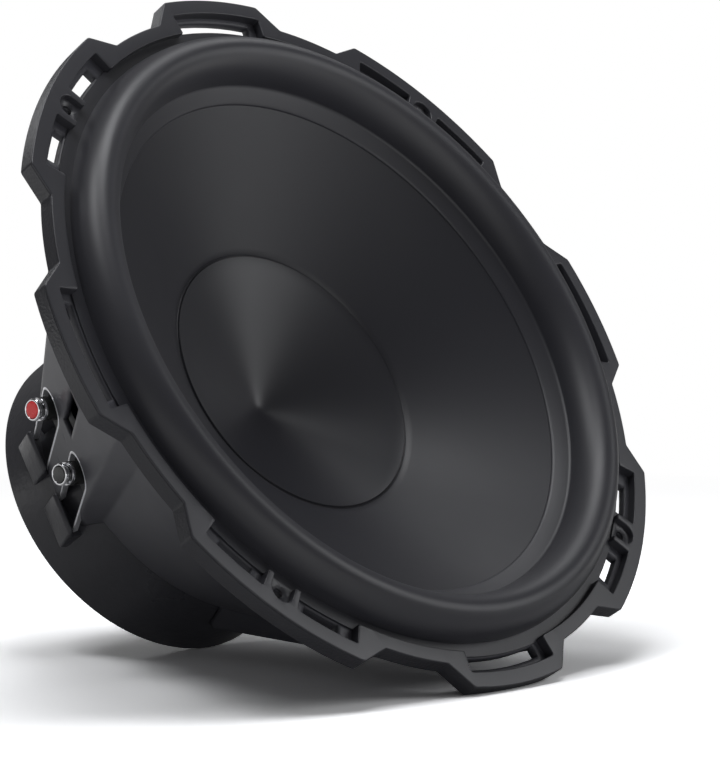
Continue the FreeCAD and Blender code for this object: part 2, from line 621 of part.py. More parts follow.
def make_fin(name, turn, side):
    """Sloped fin that stands out of the boot under one terminal window."""
    points = [("fin_core_x", "fin_low"), ("fin_foot_x", "fin_foot"),
              ("fin_ridge_x", "fin_ridge"), ("fin_lip_x", "fin_lip"),
              ("fin_throat_x", "fin_throat"), ("fin_core_x", "fin_throat")]
    fin = prism(name, "XZ_Plane", points, "fin_width", True, turn)
    shift = V(0, side * (size("fin_near") + size("fin_far")) / 2, 0)
    fin.Placement.Base = FreeCAD.Rotation(Z_AXIS, turn).multVec(shift)
    return fin


def make_boot():
    """Rubber boot over the magnets: cup with an open back and four sloped fins."""
    cup = turned("boot_cup", [("boot_opening", "0"), ("boot_bevel_radius", "0"),
                              ("boot_radius", "boot_bevel"), ("boot_radius", "boot_rim_start"),
                              ("boot_rim_round", "boot_top"),
                              ("magnet_shell_inner", "boot_top"),
                              ("magnet_shell_inner", "boot_wall"),
                              ("boot_opening", "boot_wall")])
    fins = [make_fin(f"fin_{turn}_{side}", turn, side) for turn in (0, 180) for side in (-1, 1)]
    core = doc.addObject("Part::Cylinder", "fin_core_tool")
    bind(core, "Radius", "fin_core")
    bind(core, "Height", "boot_top")
    outer = combine("Cut", "boot_fins", [combine("MultiFuse", "fin_group", fins), core])
    return combine("MultiFuse", "motor_boot", [cup, outer])


def make_motor():
    """Yoke with vented pole, two magnets, top plate, shorting sleeve and vent screen."""
    turned("pole_yoke", [("pole_vent", "boot_wall"), ("steel_radius", "boot_wall"),
                         ("steel_radius", "back_plate_top"), ("pole_radius", "back_plate_top"),
                         ("pole_radius", "pole_top"), ("pole_vent", "pole_top")])
    ring("rear_magnet", "magnet_inner", "magnet_outer", "back_plate_top", "magnet_joint")
    ring("front_magnet", "magnet_inner", "magnet_outer", "magnet_joint", "magnet_top")
    blank = ring("top_plate_blank", "gap_radius", "steel_radius", "magnet_top", "plate_bottom")
    holes = combine("MultiFuse", "top_plate_holes", screw_cylinders("top_plate_hole"))
    combine("Cut", "top_plate", [blank, holes])
    ring("shorting_sleeve", "pole_radius", "sleeve_radius", "sleeve_bottom", "pole_top")
    make_vent_screen()


def make_vent_screen():
    """Disc across the pole vent with a staggered grid of round holes."""
    floor = V(0, 0, size("boot_wall"))
    disc = Part.makeCylinder(size("pole_vent"), size("screen_thick"), floor)
    pitch = size("screen_pitch")
    row_pitch = pitch * math.sin(math.radians(60))
    reach = math.ceil(size("pole_vent") / pitch)
    for row in range(-reach, reach + 1):
        for column in range(-reach, reach + 1):
            middle = V(pitch * (column + (row % 2) / 2), row_pitch * row, 0)
            if middle.Length < size("pole_vent") - 2 * size("screen_hole"):
                disc = disc.cut(Part.makeCylinder(size("screen_hole"), size("screen_thick"),
                                                  middle + floor))
    free_shape("vent_screen", disc)


# ---------------------------------------------------------------- moving assembly
ROLL_STEPS = 24
WAVE_STEPS = 96


def half_roll(inner, outer, height):
    """Curve of a half roll between two (radius, height) feet, as a spline edge."""
    points = []
    for step in range(ROLL_STEPS + 1):
        angle = math.pi * step / ROLL_STEPS
        across = (1 - math.cos(angle)) / 2
        radius = inner[0] + (outer[0] - inner[0]) * across
        base = inner[1] + (outer[1] - inner[1]) * across
        points.append(V(radius, 0, base + height * math.sin(angle)))
    curve = Part.BSplineCurve()
    curve.interpolate(points)
    return curve.toShape()


def spun(edges):
    """Solid of revolution about Z from the edges of a closed profile."""
    face = Part.Face(Part.Wire(edges))
    return face.revolve(V(0, 0, 0), Z_AXIS, 360)


def line_through(points):
    """Straight edges through (radius, height) points."""
    corners = [V(radius, 0, height) for radius, height in points]
    return [Part.makeLine(a, b) for a, b in zip(corners[:-1], corners[1:])]


def make_surround():
    """Foam half-roll surround with a lip on the cone and a lip on the flange."""
    thick = size("surround_thick")
    inner = (size("roll_inner"), cone_front(SIZES["roll_inner"]))
    outer = (size("roll_outer"), size("flange_top"))
    rim = size("surround_rim")
    lip = (size("lip_inner"), cone_front(SIZES["lip_inner"]))
    front = half_roll((inner[0], inner[1] + thick), (outer[0], outer[1] + thick),
                      size("roll_height"))
    back = half_roll((inner[0] + thick, inner[1]), (outer[0] - thick, outer[1]),
                     size("roll_height") - thick)
    outline = [front]
    outline += line_through([(outer[0], outer[1] + thick), (rim, outer[1] + thick),
                             (rim, outer[1]), (outer[0] - thick, outer[1])])
    outline.append(back)
    outline += line_through([(inner[0] + thick, inner[1]), (inner[0], inner[1]), lip,
                             (lip[0], lip[1] + thick), (inner[0], inner[1] + thick)])
    free_shape("surround", spun(Part.__sortEdges__(outline)))


def make_spider():
    """Corrugated spider between the coil former and the shelf, and its clamp ring."""
    inner = size("former_outer")
    neck = size("collar_radius")
    start = size("shelf_inner") - size("spider_lift")
    thick = size("spider_thick")
    level = size("shelf_top")
    points = []
    for step in range(WAVE_STEPS + 1):
        share = step / WAVE_STEPS
        radius = neck + (start - neck) * share
        wave = size("spider_wave") * math.sin(2 * math.pi * size("spider_waves") * share)
        height = level + size("spider_lift") * (1 - share)
        points.append((radius, height + wave * math.sin(math.pi * share) ** 0.5))
    top = Part.BSplineCurve()
    top.interpolate([V(radius, 0, height + thick) for radius, height in points])
    bottom = Part.BSplineCurve()
    bottom.interpolate([V(radius, 0, height) for radius, height in points])
    first, last = points[0], points[-1]
    outline = [top.toShape(), bottom.toShape()]
    outline += line_through([(last[0], last[1] + thick), (size("spider_outer"), level + thick),
                             (size("spider_outer"), level), last])
    outline += line_through([first, (inner, first[1]), (inner, first[1] + thick),
                             (first[0], first[1] + thick)])
    free_shape("spider", spun(Part.__sortEdges__(outline)))
    ring("spider_clamp", "clamp_inner", "spider_outer", "clamp_bottom", "clamp_top")


def make_moving():
    """Cone, dust cap, coil former with two windings, and the collar above the spider."""
    turned("cone", [("cone_neck_radius", "cone_neck_back"), ("cone_rim_radius", "cone_rim_back"),
                    ("cone_rim_radius", "cone_rim_height"),
                    ("cone_neck_radius", "cone_neck_height")])
    turned("dust_cap", [("0", "cap_apex_back"), ("cap_radius", "cap_edge_height"),
                        ("cap_radius", "cap_edge_front"), ("0", "cap_apex_height")])
    ring("coil_former", "former_inner", "former_outer", "former_bottom", "former_top")
    ring("inner_winding", "former_outer", "coil_middle", "coil_bottom", "coil_top")
    ring("outer_winding", "coil_middle", "coil_outer", "coil_bottom", "coil_top")
    ring("lead_collar", "former_outer", "collar_radius", "collar_bottom", "collar_top")


# ---------------------------------------------------------------- terminals
POLES = {"positive": -1, "negative": 1}
WIRE_SIDES = 8


def rod(radius, start, end, y):
    """Cylinder along X at the terminals' height."""
    return Part.makeCylinder(radius, end - start, V(start, y, size("window_height")), V(1, 0, 0))


def wire_bore():
    """Cross bore that both terminals of the +X side share for the wires."""
    return Part.makeCylinder(size("wire_hole"), 2 * size("lobe_radius"),
                             V(size("wire_place"), -size("lobe_radius"), size("window_height")),
                             V(0, 1, 0))


def make_block(side):
    """Sloped terminal block behind the windows, with two holders and two fixings."""
    turn = 0.0 if side == "right" else 180.0
    slab = prism(side + "_block_slab", "XZ_Plane",
                 [("block_low_back", "block_low"), ("block_low_front", "block_low"),
                  ("block_high_front", "block_high"), ("block_high_back", "block_high")],
                 "block_span", True, turn)
    shield = prism(side + "_block_shield", "YZ_Plane",
                   [("-block_low_half", "block_low"), ("block_low_half", "block_low"),
                    ("block_high_half", "block_high"), ("-block_high_half", "block_high")],
                   "lobe_radius", False, turn)
    plate = combine("MultiCommon", side + "_block_plate", [slab, shield])
    pegs = []
    bores = []
    for sign in POLES.values():
        y = sign * size("window_pitch_half")
        pegs.append(rod(size("holder_radius"), size("holder_start"), size("holder_reach"), y))
        bores.append(rod(size("barrel_neck"), size("barrel_root"), size("holder_reach"), y))
    posts = [on_side(side, peg) for peg in pegs]
    posts += [fixing_boss(side, "fixing_low"), fixing_boss(side, "fixing_high")]
    holders = free_shape(side + "_holders", Part.makeCompound(posts))
    bores = [on_side(side, bore) for bore in bores + [wire_bore()]]
    bores += [fixing_shank(side, "fixing_low", 1.0), fixing_shank(side, "fixing_high", 1.0)]
    holes = free_shape(side + "_block_holes", Part.makeCompound(bores))
    combine("Cut", side + "_terminal_block",
            [combine("MultiFuse", side + "_block_blank", [plate, holders]), holes])


def make_fixings(side):
    """Two pan-head screws that hold a terminal block to the inside of its spoke."""
    normal = panel_normal()
    solids = []
    for level in ("fixing_low", "fixing_high"):
        layers = SIZES["spoke_skin"] + SIZES["block_gap"] + SIZES["block_thick"]
        seat = V(panel_x(SIZES[level]), 0, SIZES[level]) - normal * (layers * normal.x)
        head = Part.makeCylinder(size("fixing_head"), size("fixing_head_height"), seat, -normal)
        solids.append(on_side(side, head).fuse(fixing_shank(side, level)).removeSplitter())
    free_shape(side + "_block_screws", Part.makeCompound(solids))


def make_terminal(side, pole, sign):
    """Push terminal: plated barrel, sprung button with a coloured insert, spring and tab."""
    y = sign * size("window_pitch_half")
    level = size("window_height")
    name = f"{side}_{pole}"
    guide = size("button_neck") + size("guide_gap")
    barrel = rod(size("barrel_neck"), size("barrel_root"), size("holder_reach"), y)
    barrel = barrel.fuse(rod(size("barrel_radius"), size("holder_reach"),
                             size("barrel_reach"), y)).removeSplitter()
    barrel = barrel.cut(rod(size("barrel_bore"), size("barrel_floor"), size("barrel_reach"), y))
    barrel = barrel.cut(rod(guide, size("guide_floor"), size("barrel_floor"), y))
    free_shape(name + "_barrel", on_side(side, barrel.cut(wire_bore())))
    button = rod(size("button_neck"), size("button_root"), size("head_back"), y)
    button = button.fuse(rod(size("button_head"), size("head_back"), size("button_reach"), y))
    button = button.removeSplitter().cut(rod(size("insert_pocket"), size("insert_back"),
                                             size("button_reach"), y))
    button = button.cut(wire_bore().translated(V(size("press"), 0, 0)))
    free_shape(name + "_button", on_side(side, button))
    insert = rod(size("insert_radius"), size("insert_back"), size("insert_reach"), y)
    free_shape(name + "_insert", on_side(side, insert))
    free_shape(name + "_spring", on_side(side, coil_spring(y)))
    tab = Part.makeBox(size("barrel_root") - size("tab_reach"), 2 * size("tab_half"),
                       2 * size("tab_half_thick"),
                       V(size("tab_reach"), y - size("tab_half"), level - size("tab_half_thick")))
    free_shape(name + "_tab", on_side(side, tab))
    free_shape(name + "_lead", on_side(side, lead_wire(sign)))


def coil_spring(y):
    """Helical spring of eight-sided wire between the barrel's floor and the button's head."""
    radius = size("spring_radius")
    length = size("head_back") - size("barrel_floor") - 2 * size("spring_clear")
    pitch = length / size("spring_turns")
    lead = V(0, 1, pitch / (2 * math.pi * radius))
    circle = Part.makeCircle(size("spring_wire"), V(radius, 0, 0), lead)
    corners = [circle.valueAt(2 * math.pi * step / WIRE_SIDES) for step in range(WIRE_SIDES)]
    section = Part.makePolygon(corners + corners[:1])
    spring = Part.Wire(Part.makeHelix(pitch, length, radius)).makePipeShell([section], True, True)
    spring.rotate(V(0, 0, 0), V(0, 1, 0), 90)
    spring.translate(V(size("barrel_floor") + size("spring_clear"), y, size("window_height")))
    return spring


def lead_wire(sign):
    """Braided lead from a tab to the collar on the coil former, in one slack arc."""
    start = V(size("lead_start_x"), sign * size("window_pitch_half"), size("window_height"))
    end = V(size("lead_end_x"), sign * size("lead_end_y"), size("lead_end_height"))
    crown = (start + end) * 0.5 + V(0, 0, size("lead_crown"))
    path = Part.Arc(start, crown, end)
    edge = path.toShape()
    section = Part.Wire(Part.makeCircle(size("lead_radius"), start, edge.tangentAt(0)))
    return Part.Wire([edge]).makePipeShell([section], True, False)


# ---------------------------------------------------------------- build and export
MOTOR_NODES = ["motor_boot", "pole_yoke", "rear_magnet", "front_magnet", "top_plate",
               "shorting_sleeve", "vent_screen", "motor_screws"]
FRAME_NODES = ["trim_ring", "basket", "spider_clamp"]
MOVING_NODES = ["surround", "cone", "dust_cap", "coil_former", "inner_winding",
                "outer_winding", "lead_collar", "spider"]
TERMINAL_NODES = [f"{side}_{piece}" for side in ("left", "right")
                  for piece in ("terminal_block", "block_screws")]
TERMINAL_NODES += [f"{side}_{pole}_{piece}" for side in ("left", "right") for pole in POLES
                   for piece in ("barrel", "button", "insert", "spring", "tab", "lead")]
NODES = FRAME_NODES + MOTOR_NODES + MOVING_NODES + TERMINAL_NODES


def build():
    """Make every piece of the driver."""
    make_trim_ring()
    make_basket()
    make_boot()
    make_motor()
    make_motor_screws()
    make_surround()
    make_spider()
    make_moving()
    for side in ("left", "right"):
        make_block(side)
        make_fixings(side)
        for pole, sign in POLES.items():
            make_terminal(side, pole, sign)
    doc.recompute()


def export():
    """Check every object and write one STEP file for each node."""
    failed = [item.Name for item in doc.Objects
              if "Invalid" in item.State or "Error" in item.State]
    if failed:
        raise RuntimeError("failed objects: " + ", ".join(failed))
    os.makedirs("parts", exist_ok=True)
    for name in NODES:
        found = [item for item in doc.Objects if item.Label == name]
        shape = found[0].Shape
        if len(found) != 1 or shape.isNull() or not shape.isValid():
            raise RuntimeError("bad shape: " + name)
        shape.exportStep(f"parts/{name}.step")
        box = shape.BoundBox
        print(f"{name:26s} solids {len(shape.Solids)} volume {shape.Volume / 1000:9.2f} cm3 "
              f"z {box.ZMin:7.2f} to {box.ZMax:7.2f}")


build()
export()
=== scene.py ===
"""Looks of a large car subwoofer driver.

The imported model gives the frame, the bodies and their joints.  This file builds the visible
pieces round it, dresses every node, and sets up the studio.  Lengths are metres in the model's
own frame: +Z runs along the driver's axis and the terminals stand out along -X and +X.
"""

import enum
import logging
import math
from dataclasses import dataclass, field

import bmesh
import bpy
from mathutils import Matrix, Vector


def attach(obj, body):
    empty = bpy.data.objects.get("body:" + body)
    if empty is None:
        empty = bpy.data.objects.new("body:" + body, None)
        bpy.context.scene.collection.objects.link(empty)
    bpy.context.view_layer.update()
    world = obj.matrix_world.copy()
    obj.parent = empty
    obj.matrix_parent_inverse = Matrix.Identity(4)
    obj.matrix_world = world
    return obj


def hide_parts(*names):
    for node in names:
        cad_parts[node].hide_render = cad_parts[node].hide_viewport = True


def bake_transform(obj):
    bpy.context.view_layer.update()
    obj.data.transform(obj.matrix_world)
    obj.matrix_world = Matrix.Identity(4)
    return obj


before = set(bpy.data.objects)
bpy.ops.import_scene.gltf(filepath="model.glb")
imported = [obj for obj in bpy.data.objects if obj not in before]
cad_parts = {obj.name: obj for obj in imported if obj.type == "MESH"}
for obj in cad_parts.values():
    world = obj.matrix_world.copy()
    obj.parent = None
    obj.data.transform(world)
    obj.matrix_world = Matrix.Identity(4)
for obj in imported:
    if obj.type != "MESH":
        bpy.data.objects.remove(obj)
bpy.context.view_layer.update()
LOG = logging.getLogger("driver")
MM = 0.001
Colour = tuple[float, float, float]
Point = tuple[float, float]
Node = bpy.types.Node
Socket = bpy.types.NodeSocket
Piece = bpy.types.Object
Loop = list[bmesh.types.BMVert]


# ---------------------------------------------------------------- shader groups
class NodeTree:
    """Small helper that adds and links nodes in a material or a group."""

    def __init__(self, tree: bpy.types.NodeTree) -> None:
        """Keep the tree that the nodes go into."""
        self.tree = tree

    def add(self, kind: str, **settings: object) -> Node:
        """Add a node.

        Args:
            kind: Blender's name for the node type, without "ShaderNode".
            **settings: Properties to set on the node.

        Returns:
            The new node.
        """
        name = kind if kind.startswith("NodeGroup") else "ShaderNode" + kind
        node = self.tree.nodes.new(name)
        for key, value in settings.items():
            setattr(node, key, value)
        return node

    def link(self, output: Socket, socket: Socket) -> None:
        """Link an output to an input."""
        self.tree.links.new(output, socket)

    def feed(self, value: object, socket: Socket) -> None:
        """Give an input a number, a colour or another node's output.

        Args:
            value: Number, colour or output socket.
            socket: The input.
        """
        if isinstance(value, Socket):
            self.link(value, socket)
        else:
            socket.default_value = (*value, 1.0) if isinstance(value, tuple) else value

    def place(self) -> Socket:
        """Find the object's own coordinates, from one node that the whole tree shares.

        Returns:
            The coordinates' socket.
        """
        found = [node for node in self.tree.nodes if node.bl_idname == "ShaderNodeTexCoord"]
        return (found[0] if found else self.add("TexCoord")).outputs["Object"]

    def axes(self) -> bpy.types.bpy_prop_collection:
        """Split the object's own coordinates.

        Returns:
            The outputs X, Y and Z.
        """
        parts = self.add("SeparateXYZ")
        self.link(self.place(), parts.inputs[0])
        return parts.outputs

    def texture(self, kind: str, scale: object, feature: str = "",
                **values: float) -> Node:
        """Add a texture laid out on the object's own coordinates.

        Args:
            kind: Blender's name for the texture, without "ShaderNodeTex".
            scale: Number or socket for its scale.
            feature: Which of a Voronoi texture's features it gives, if not the usual one.
            **values: Values of its other inputs.

        Returns:
            The texture node.
        """
        node = self.add("Tex" + kind, **({"feature": feature} if feature else {}))
        self.link(self.place(), node.inputs["Vector"])
        self.feed(scale, node.inputs["Scale"])
        for label, value in values.items():
            node.inputs[label].default_value = value
        return node

    def math(self, operation: str, *values: object) -> Socket:
        """Add a Math node.

        Args:
            operation: Blender's name for the operation.
            *values: Numbers or output sockets, in order.

        Returns:
            The node's result socket.
        """
        node = self.add("Math", operation=operation)
        for socket, value in zip(node.inputs, values):
            self.feed(value, socket)
        return node.outputs[0]

    def spread(self, value: Socket, low: float, high: float,
               to_low: float, to_high: float) -> Socket:
        """Map a value from one range to another, held at the ends.

        Args:
            value: The value to map.
            low: Start of the range that comes in.
            high: End of the range that comes in.
            to_low: Start of the range that goes out.
            to_high: End of the range that goes out.

        Returns:
            The mapped value's socket.
        """
        node = self.add("MapRange")
        self.link(value, node.inputs["Value"])
        for name, number in (("From Min", low), ("From Max", high),
                             ("To Min", to_low), ("To Max", to_high)):
            node.inputs[name].default_value = number
        return node.outputs[0]

    def mix(self, factor: Socket, first: object,
            second: object) -> Socket:
        """Mix two colours.

        Args:
            factor: Socket with the share of the second colour.
            first: Colour or socket at 0.
            second: Colour or socket at 1.

        Returns:
            The mixed colour's socket.
        """
        node = self.add("Mix", data_type="RGBA")
        self.link(factor, node.inputs["Factor"])
        inputs = [s for s in node.inputs if s.type == "RGBA"]
        for socket, value in zip(inputs, (first, second)):
            self.feed(value, socket)
        return next(s for s in node.outputs if s.type == "RGBA")


class GroupTree(NodeTree):
    """Tree of a shader group, with the sockets that lead in and out of it."""

    def __init__(self, tree: bpy.types.NodeTree) -> None:
        """Add the input and the output node."""
        super().__init__(tree)
        self.entry = self.add("NodeGroupInput").outputs
        self.leave = self.add("NodeGroupOutput").inputs


@dataclass(frozen=True)
class ShaderGroup:
    """A node group shared by several finishes, built the first time it is asked for."""

    name: str
    inputs: tuple[tuple[str, float], ...]
    outputs: tuple[str, ...]

    def tree(self) -> bpy.types.NodeTree:
        """Make the group, or find the one already made.

        Returns:
            The group's node tree.
        """
        found = bpy.data.node_groups.get(self.name)
        if found:
            return found
        group = bpy.data.node_groups.new(self.name, "ShaderNodeTree")
        for label, value in self.inputs:
            socket = group.interface.new_socket(label, in_out="INPUT",
                                                socket_type="NodeSocketFloat")
            socket.default_value = value
        for label in self.outputs:
            group.interface.new_socket(label, in_out="OUTPUT", socket_type="NodeSocketFloat")
        self.fill(GroupTree(group))
        return group

    def fill(self, nodes: GroupTree) -> None:
        """Make the group's own nodes; each kind of group has its own.

        Args:
            nodes: The group's tree.
        """
        raise NotImplementedError

    def place(self, nodes: NodeTree, **values: float) -> Node:
        """Put the group into a material.

        Args:
            nodes: The material's tree.
            **values: Input values, with underscores for spaces.

        Returns:
            The group node.
        """
        node = nodes.add("Group")
        node.node_tree = self.tree()
        for key, value in values.items():
            node.inputs[key.replace("_", " ")].default_value = value
        return node


class GrainGroup(ShaderGroup):
    """Moulded or sprayed grain: a fine height and a slow mottle."""

    def fill(self, nodes: GroupTree) -> None:
        """Two noises, one at the grain's own scale and one much slower.

        Args:
            nodes: The group's tree.
        """
        fine = nodes.texture("Noise", nodes.entry["Grain Scale"], Detail=3.0)
        slow = nodes.texture("Noise", nodes.entry["Mottle Scale"], Detail=5.0, Roughness=0.6)
        nodes.link(fine.outputs["Fac"], nodes.leave["Height"])
        nodes.link(nodes.spread(slow.outputs["Fac"], 0.35, 0.65, 0.0, 1.0),
                   nodes.leave["Mottle"])


class PebbleGroup(ShaderGroup):
    """Leathery pebble of textured plastic and rubber."""

    def fill(self, nodes: GroupTree) -> None:
        """Rounded cells, broken up by noise.

        Args:
            nodes: The group's tree.
        """
        scale = nodes.entry["Pebble Scale"]
        cells = nodes.texture("Voronoi", scale, "SMOOTH_F1", Smoothness=0.6)
        noise = nodes.texture("Noise", nodes.math("MULTIPLY", scale, 2.3))
        height = nodes.math("ADD", cells.outputs["Distance"],
                            nodes.math("MULTIPLY", noise.outputs["Fac"], 0.5))
        nodes.link(height, nodes.leave["Height"])


class TurningGroup(ShaderGroup):
    """Fine rings about the driver's axis, as left by a lathe or a press tool."""

    def fill(self, nodes: GroupTree) -> None:
        """Noise that changes only with the distance from the axis and the height.

        Args:
            nodes: The group's tree.
        """
        axes = nodes.axes()
        across = nodes.math("POWER", axes["X"], 2.0)
        along = nodes.math("POWER", axes["Y"], 2.0)
        radius = nodes.math("SQRT", nodes.math("ADD", across, along))
        radius = nodes.math("ADD", radius, nodes.math("MULTIPLY", axes["Z"], 0.7))
        rings = nodes.add("TexNoise", noise_dimensions="1D")
        rings.inputs["Detail"].default_value = 4.0
        nodes.link(radius, rings.inputs["W"])
        nodes.link(nodes.entry["Ring Scale"], rings.inputs["Scale"])
        nodes.link(rings.outputs["Fac"], nodes.leave["Rings"])


class WeaveGroup(ShaderGroup):
    """Crossed threads of cloth, mesh or braid."""

    def fill(self, nodes: GroupTree) -> None:
        """Two crossed sine waves, as a height and as a mask of where the threads cross.

        Args:
            nodes: The group's tree.
        """
        axes = nodes.axes()
        waves = []
        for axis in ("X", "Y"):
            turn = nodes.math("MULTIPLY", axes[axis], nodes.entry["Thread Scale"])
            waves.append(nodes.math("ABSOLUTE", nodes.math("SINE", turn)))
        nodes.link(nodes.math("MAXIMUM", *waves), nodes.leave["Height"])
        nodes.link(nodes.math("MINIMUM", *waves), nodes.leave["Threads"])


class HandlingGroup(ShaderGroup):
    """Faint rubs and dust specks that soften a plain surface."""

    def fill(self, nodes: GroupTree) -> None:
        """Sparse specks from a cell pattern, and soft rubbed patches from noise.

        Args:
            nodes: The group's tree.
        """
        specks = nodes.texture("Voronoi", nodes.entry["Speck Scale"])
        nodes.link(nodes.spread(specks.outputs["Distance"], 0.03, 0.07, 1.0, 0.0),
                   nodes.leave["Specks"])
        rub = nodes.texture("Noise", 14.0, Detail=6.0)
        nodes.link(nodes.spread(rub.outputs["Fac"], 0.45, 0.75, 0.0, 1.0),
                   nodes.leave["Rubs"])


GRAIN = GrainGroup("Moulded grain", (("Grain Scale", 900.0), ("Mottle Scale", 9.0)),
                   ("Height", "Mottle"))
PEBBLE = PebbleGroup("Pebbled skin", (("Pebble Scale", 700.0),), ("Height",))
TURNING = TurningGroup("Turning rings", (("Ring Scale", 1500.0),), ("Rings",))
WEAVE = WeaveGroup("Crossed threads", (("Thread Scale", 5000.0),), ("Height", "Threads"))
HANDLING = HandlingGroup("Handling marks", (("Speck Scale", 120.0),), ("Specks", "Rubs"))


# ---------------------------------------------------------------- finishes
class Surface(NodeTree):
    """Tree of a material, with the inputs of its Principled shader."""

    def __init__(self, material: bpy.types.Material) -> None:
        """Find the shader's inputs."""
        super().__init__(material.node_tree)
        self.shader = self.tree.nodes["Principled BSDF"].inputs


@dataclass(frozen=True)
class Finish:
    """A surface finish: its base values, and the material made from them."""

    name: str
    colour: Colour
    roughness: float = 0.5
    metallic: float = 0.0
    specular: float = 0.5

    def material(self) -> bpy.types.Material:
        """Make the material, or find the one already made.

        Returns:
            The material.
        """
        found = bpy.data.materials.get(self.name)
        if found:
            return found
        material = bpy.data.materials.new(self.name)
        material.use_nodes = True
        nodes = Surface(material)
        for label, value in (("Base Color", self.colour), ("Roughness", self.roughness),
                             ("Metallic", self.metallic),
                             ("Specular IOR Level", self.specular)):
            nodes.feed(value, nodes.shader[label])
        self.dress(nodes)
        return material

    def dress(self, nodes: Surface) -> None:
        """Add the finish's own nodes; a plain finish has none.

        Args:
            nodes: The material's tree.
        """

    def shade(self, nodes: Surface, mask: Socket, lift: float) -> None:
        """Vary the base colour about its own value.

        Args:
            nodes: The material's tree.
            mask: Socket that runs from 0 to 1 over the surface.
            lift: How much lighter the colour is at 1, as a share.
        """
        light = tuple(min(1.0, part * (1 + lift)) for part in self.colour)
        nodes.link(nodes.mix(mask, self.colour, light), nodes.shader["Base Color"])

    def roughen(self, nodes: Surface, mask: Socket, change: float,
                span: Point = (0.0, 1.0)) -> None:
        """Vary the roughness from its own value.

        Args:
            nodes: The material's tree.
            mask: Socket that varies over the surface.
            change: What is added to the roughness at the end of the mask's span.
            span: Start and end of the mask's range that counts.
        """
        rough = nodes.spread(mask, *span, self.roughness, self.roughness + change)
        nodes.link(rough, nodes.shader["Roughness"])

    @staticmethod
    def emboss(nodes: Surface, height: Socket, depth: float,
               edge_round: float = 0.0) -> None:
        """Feed a height to the shader's normal.

        Args:
            nodes: The material's tree.
            height: Socket with the height, from 0 to 1.
            depth: Real depth in metres.
            edge_round: Radius that sharp edges are softened by, in metres; 0 for none.
        """
        bump = nodes.add("Bump")
        bump.inputs["Distance"].default_value = depth
        if edge_round:
            edges = nodes.add("Bevel", samples=8)
            edges.inputs["Radius"].default_value = edge_round
            nodes.link(edges.outputs["Normal"], bump.inputs["Normal"])
        nodes.link(height, bump.inputs["Height"])
        nodes.link(bump.outputs["Normal"], nodes.shader["Normal"])


@dataclass(frozen=True)
class MouldedFinish(Finish):
    """Moulded plastic, paint or foam with fine grain, mottle and handling marks."""

    grain_scale: float = 900.0
    grain_depth: float = 0.00003
    mottle: float = 0.10
    rough_spread: float = 0.06
    specks: float = 0.0
    sheen: float = 0.0
    coat: float = 0.0
    edge_round: float = 0.0

    def dress(self, nodes: Surface) -> None:
        """Grain for the height, mottle for the colour, rubs for the roughness, specks on top.

        Args:
            nodes: The material's tree.
        """
        grain = GRAIN.place(nodes, Grain_Scale=self.grain_scale)
        marks = HANDLING.place(nodes)
        self.shade(nodes, grain.outputs["Mottle"], self.mottle)
        self.roughen(nodes, marks.outputs["Rubs"], -self.rough_spread)
        height = grain.outputs["Height"]
        if self.specks:
            height = nodes.math("ADD", height,
                                nodes.math("MULTIPLY", marks.outputs["Specks"], self.specks))
        self.emboss(nodes, height, self.grain_depth, self.edge_round)
        nodes.shader["Sheen Weight"].default_value = self.sheen
        nodes.shader["Sheen Roughness"].default_value = 0.4
        nodes.shader["Coat Weight"].default_value = self.coat
        nodes.shader["Coat Roughness"].default_value = 0.25


@dataclass(frozen=True)
class PebbledFinish(Finish):
    """Plastic or rubber with a leathery moulded pebble."""

    pebble_scale: float = 700.0
    pebble_depth: float = 0.00012

    def dress(self, nodes: Surface) -> None:
        """Pebble for the height, and a slow mottle for the colour.

        Args:
            nodes: The material's tree.
        """
        pebble = PEBBLE.place(nodes, Pebble_Scale=self.pebble_scale)
        grain = GRAIN.place(nodes)
        self.shade(nodes, grain.outputs["Mottle"], 0.15)
        self.emboss(nodes, pebble.outputs["Height"], self.pebble_depth)


@dataclass(frozen=True)
class PressedFinish(Finish):
    """Pressed cone skin: matt, with very faint rings and a soft mottle."""

    ring_scale: float = 700.0
    ring_depth: float = 0.00001

    def dress(self, nodes: Surface) -> None:
        """Rings and grain together make the height.

        Args:
            nodes: The material's tree.
        """
        rings = TURNING.place(nodes, Ring_Scale=self.ring_scale)
        grain = GRAIN.place(nodes, Grain_Scale=1400.0, Mottle_Scale=14.0)
        self.shade(nodes, grain.outputs["Mottle"], 0.06)
        height = nodes.math("ADD", nodes.math("MULTIPLY", rings.outputs["Rings"], 0.6),
                            grain.outputs["Height"])
        self.emboss(nodes, height, self.ring_depth)
        self.roughen(nodes, grain.outputs["Mottle"], -0.04)


@dataclass(frozen=True)
class TurnedMetal(Finish):
    """Turned, plated or ground metal with rings about the axis."""

    metallic: float = 1.0
    ring_scale: float = 1800.0
    ring_depth: float = 0.00002

    def dress(self, nodes: Surface) -> None:
        """Rings set the height and the roughness; mottle tints the colour.

        Args:
            nodes: The material's tree.
        """
        rings = TURNING.place(nodes, Ring_Scale=self.ring_scale)
        grain = GRAIN.place(nodes, Grain_Scale=1200.0, Mottle_Scale=25.0)
        self.shade(nodes, grain.outputs["Mottle"], 0.12)
        self.roughen(nodes, rings.outputs["Rings"], 0.12, (0.3, 0.7))
        self.emboss(nodes, rings.outputs["Rings"], self.ring_depth)


